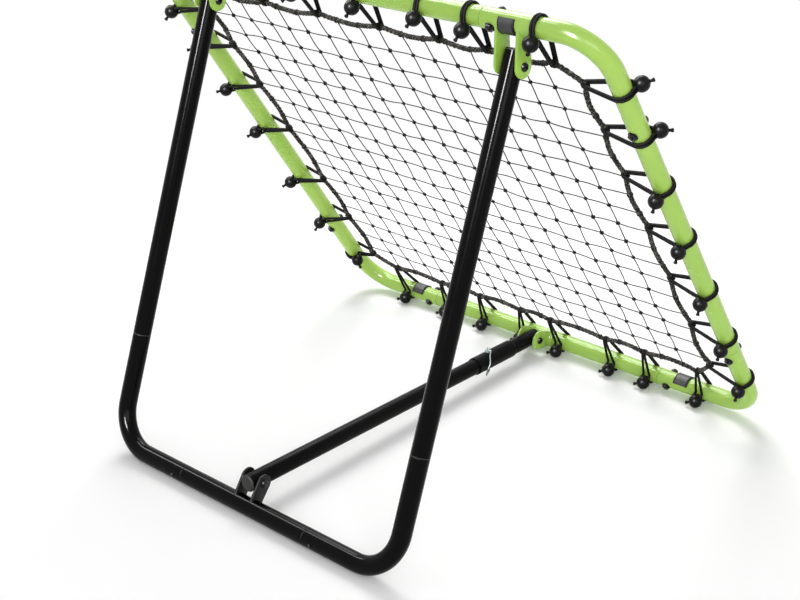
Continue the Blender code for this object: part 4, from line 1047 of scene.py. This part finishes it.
def knotShape():
    # A sheet bend pulled tight: three crossings of the twine in a lump that is longer than wide
    shape, loop = Shape(), []
    for k in range(netLook.knotParts):
        t = 2 * pi * k / netLook.knotParts
        loop.append(Vector(((sin(t) + 2 * sin(2 * t)) / 3 * netLook.knotLong,
                            -sin(3 * t) * netLook.knotWide * 0.5,
                            (cos(t) - 2 * cos(2 * t)) / 3 * netLook.knotWide)))
    sweep(shape, loop, netLook.knotTwine, netLook.sides, closed=True)
    return shape


def hitchShape():
    shape = Shape()
    for twist in (-netLook.hitchApart, netLook.hitchApart):
        ring = circle(xAxis * twist, yAxis, zAxis, netLook.hitch, netLook.hitchParts)
        sweep(shape, ring, netLook.hitchTwine, netLook.sides, closed=True)
    return shape


def scatterGroup(name):
    # Instances of one form on every point, each turned a little, then made real
    tree = bpy.data.node_groups.new(name, "GeometryNodeTree")
    for label, kind in (("Points", "Geometry"), ("Form", "Object"), ("Base Turn", "Vector"), ("Turn", "Float"),
                        ("Spread", "Float"), ("Seed", "Int"), ("Finish", "Material")):
        tree.interface.new_socket(label, in_out="INPUT", socket_type=f"NodeSocket{kind}")
    tree.interface.new_socket("Made", in_out="OUTPUT", socket_type="NodeSocketGeometry")
    source = add(tree, "NodeGroupInput").outputs
    form = add(tree, "GeometryNodeObjectInfo", {"Object": source["Form"]})
    least = add(tree, "ShaderNodeMath", {0: source["Turn"], 1: -1.0}, operation="MULTIPLY")
    turn = add(tree, "FunctionNodeRandomValue", {2: least, 3: source["Turn"], "Seed": source["Seed"]},
               data_type="FLOAT")
    angles = add(tree, "ShaderNodeCombineXYZ", {"Y": turn.outputs[1]})
    whole = add(tree, "ShaderNodeVectorMath", {0: angles, 1: source["Base Turn"]}, operation="ADD")
    largest = add(tree, "ShaderNodeMath", {0: source["Spread"], 1: 1.0}, operation="ADD")
    size = add(tree, "FunctionNodeRandomValue", {2: netLook.least, 3: largest, "Seed": source["Seed"]},
               data_type="FLOAT")
    place = add(tree, "GeometryNodeInstanceOnPoints", {
        "Points": source["Points"], "Instance": form.outputs["Geometry"], "Rotation": whole,
        "Scale": size.outputs[1]})
    real = add(tree, "GeometryNodeRealizeInstances", {"Geometry": place})
    finish = add(tree, "GeometryNodeSetMaterial", {"Geometry": real, "Material": source["Finish"]})
    add(tree, "NodeGroupOutput", {"Made": finish})
    return tree


def scatter(name, group, points, form, angle, turn, spread, seed):
    settings = {"Form": form, "Base Turn": (0.0, angle, 0.0), "Turn": turn, "Spread": spread, "Seed": seed,
                "Finish": twineLaid}
    host = bareObject(name, points, Shape(), [twineLaid])
    modifier = host.modifiers.new("scatter", "NODES")
    modifier.node_group = group
    for item in group.interface.items_tree:
        if item.in_out == "INPUT" and item.name in settings:
            modifier[item.identifier] = settings[item.name]
    bpy.context.view_layer.update()
    graph = bpy.context.evaluated_depsgraph_get()
    made = bpy.data.meshes.new_from_object(host.evaluated_get(graph))
    host.modifiers.remove(modifier)
    made.transform(netPlane)
    made.materials.clear()
    made.materials.append(twineLaid)
    made.shade_smooth()
    old = host.data
    host.data = made
    bpy.data.meshes.remove(old)
    return host


def net():
    nodes = netNodes()
    piece("netTwine", netStrands(nodes), onNet, [twineLaid], ["net_mesh"], netLook.sharp)
    group = scatterGroup("scatterForms")
    knot, hitch = [bareObject(name, shape.points, shape, [twineLaid])
                   for name, shape in (("knotForm", knotShape()), ("hitchForm", hitchShape()))]
    lines = netLook.lines
    level, upright = [[p + axis * (netEdge if key[along] == lines else -netEdge) for key, p in nodes.items()
                       if key[along] in (-1, lines)] for axis, along in ((zAxis, 1), (xAxis, 0))]
    inner = [p for key, p in nodes.items() if inNet(key)]
    made = [scatter("netKnots", group, inner, knot, angle=netLook.knotTurn, turn=0.35, spread=0.15, seed=3),
            scatter("netHitchesLevel", group, level, hitch, angle=0.0, turn=0.25, spread=0.08, seed=8),
            scatter("netHitchesUpright", group, upright, hitch, angle=radians(90.0), turn=0.25, spread=0.08, seed=9)]
    for form in (knot, hitch):
        bpy.data.objects.remove(form)
    for one in made:
        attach(one, "net_frame")
        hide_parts("net_mesh")


net()
print("net built")


# Stage: a pale matt floor that keeps the shadow and runs out into white. What the camera and mirrors see of the
# floor and the air is white; what they light is the floor's own pale tone and a dimmer air
stageLook = Settings(size=30.0, low=-0.0006, floor=0.95, lift=0.06, near=0.7, far=1.7, air=0.55)
# Lamps: a broad soft one high on the playing side and one behind the camera, about equal, and two strip lights
# that only glossy surfaces show, which draw the crisp line along each tube
lampLook = (
    ("overheadLight", (1.4, -1.4, 2.6), (0.0, 0.0, 0.2), (1.6, 1.6), 66.0, True),
    ("frontLight", (-3.0, 2.6, 2.4), (0.0, 0.0, 0.4), (2.4, 2.0), 62.0, True),
    ("stripUpright", (-0.35, 3.4, 2.46), (0.0, 0.2, 0.7), (0.42, 1.3), 420.0, False),
    ("stripLevel", (1.9, 0.1, 2.4), (0.0, 0.0, 0.4), (0.35, 2.0), 50.0, False),
)
# Camera: place in metres, angles, focal length in pixels of a view 800 wide
view = Settings(
    place=(-1.6479, 1.8166, 1.3661), yaw=radians(42.5637), pitch=radians(24.55), roll=radians(-1.0928),
    pixels=1509.87, wide=800, sensor=36.0, clip=(0.05, 100.0))


def seenShare(tree):
    # 1 for what the camera sees, straight, in a mirror or through glass, and 0 for light on its way to a surface
    path = add(tree, "ShaderNodeLightPath").outputs
    seen = path["Is Camera Ray"]
    for ray in ("Is Glossy Ray", "Is Transmission Ray"):
        seen = add(tree, "ShaderNodeMath", {0: seen, 1: path[ray]}, operation="MAXIMUM")
    return seen


def stage():
    floor = bpy.data.meshes.new("floor")
    far, low = stageLook.size, stageLook.low
    floor.from_pydata([(-far, -far, low), (far, -far, low), (far, far, low), (-far, far, low)], [], [(0, 1, 2, 3)])
    ground = placed("floor", floor)
    material, tree, shader = newMaterial("floorPaperPale", {"Roughness": 1.0, "Specular IOR Level": 0.0,
                                                            "Emission Color": grey(1.0)})
    seen = seenShare(tree)
    where = add(tree, "ShaderNodeTexCoord").outputs["Object"]
    reach = add(tree, "ShaderNodeVectorMath", {0: where}, operation="LENGTH")
    fade = add(tree, "ShaderNodeMapRange", {"Value": reach.outputs["Value"], "From Min": stageLook.near,
                                            "From Max": stageLook.far}, interpolation_type="SMOOTHSTEP")
    share = add(tree, "ShaderNodeMath", {0: fade, 1: seen}, operation="MULTIPLY")
    paper = add(tree, "ShaderNodeMix", {0: share, 6: grey(stageLook.floor), 7: grey(0.0)}, data_type="RGBA")
    rise = add(tree, "ShaderNodeMapRange", {"Value": fade, "To Min": stageLook.lift, "To Max": 1.0})
    glow = add(tree, "ShaderNodeMath", {0: rise, 1: seen}, operation="MULTIPLY")
    join(tree, shader, {"Base Color": paper.outputs[2], "Emission Strength": glow})
    floor.materials.append(material)

    world = bpy.data.worlds.new("studio")
    world.use_nodes = True
    bpy.context.scene.world = world
    tree = world.node_tree
    air = tree.nodes["Background"]
    join(tree, air, {"Color": grey(1.0), "Strength": stageLook.air})
    white = add(tree, "ShaderNodeBackground", {"Color": grey(1.0), "Strength": 1.0})
    both = add(tree, "ShaderNodeMixShader", {0: seenShare(tree), 1: air, 2: white})
    join(tree, tree.nodes["World Output"], {"Surface": both})


def lamps():
    for name, place, aim, size, power, lights in lampLook:
        light = bpy.data.lights.new(name, "AREA")
        light.shape = "RECTANGLE"
        light.size, light.size_y = size
        light.energy = power
        lamp = placed(name, light)
        lamp.location = place
        lamp.rotation_euler = (Vector(aim) - Vector(place)).to_track_quat("-Z", "Y").to_euler()
        lamp.visible_diffuse = lights


def camera():
    level = cos(view.pitch)
    forward = Vector((sin(view.yaw) * level, -cos(view.yaw) * level, -sin(view.pitch)))
    right = forward.cross(zAxis).normalized()
    up = right.cross(forward)
    across = right * cos(view.roll) + up * sin(view.roll)
    above = -right * sin(view.roll) + up * cos(view.roll)
    lens = bpy.data.cameras.new("camera")
    lens.sensor_width = view.sensor
    lens.lens = view.sensor * view.pixels / view.wide
    lens.clip_start, lens.clip_end = view.clip
    made = placed("camera", lens)
    made.matrix_world = Matrix.Translation(view.place) @ Matrix((across, above, -forward)).transposed().to_4x4()
    bpy.context.scene.camera = made
    bpy.context.scene.view_settings.view_transform = "Standard"


stage()
lamps()
camera()

print("stage set")
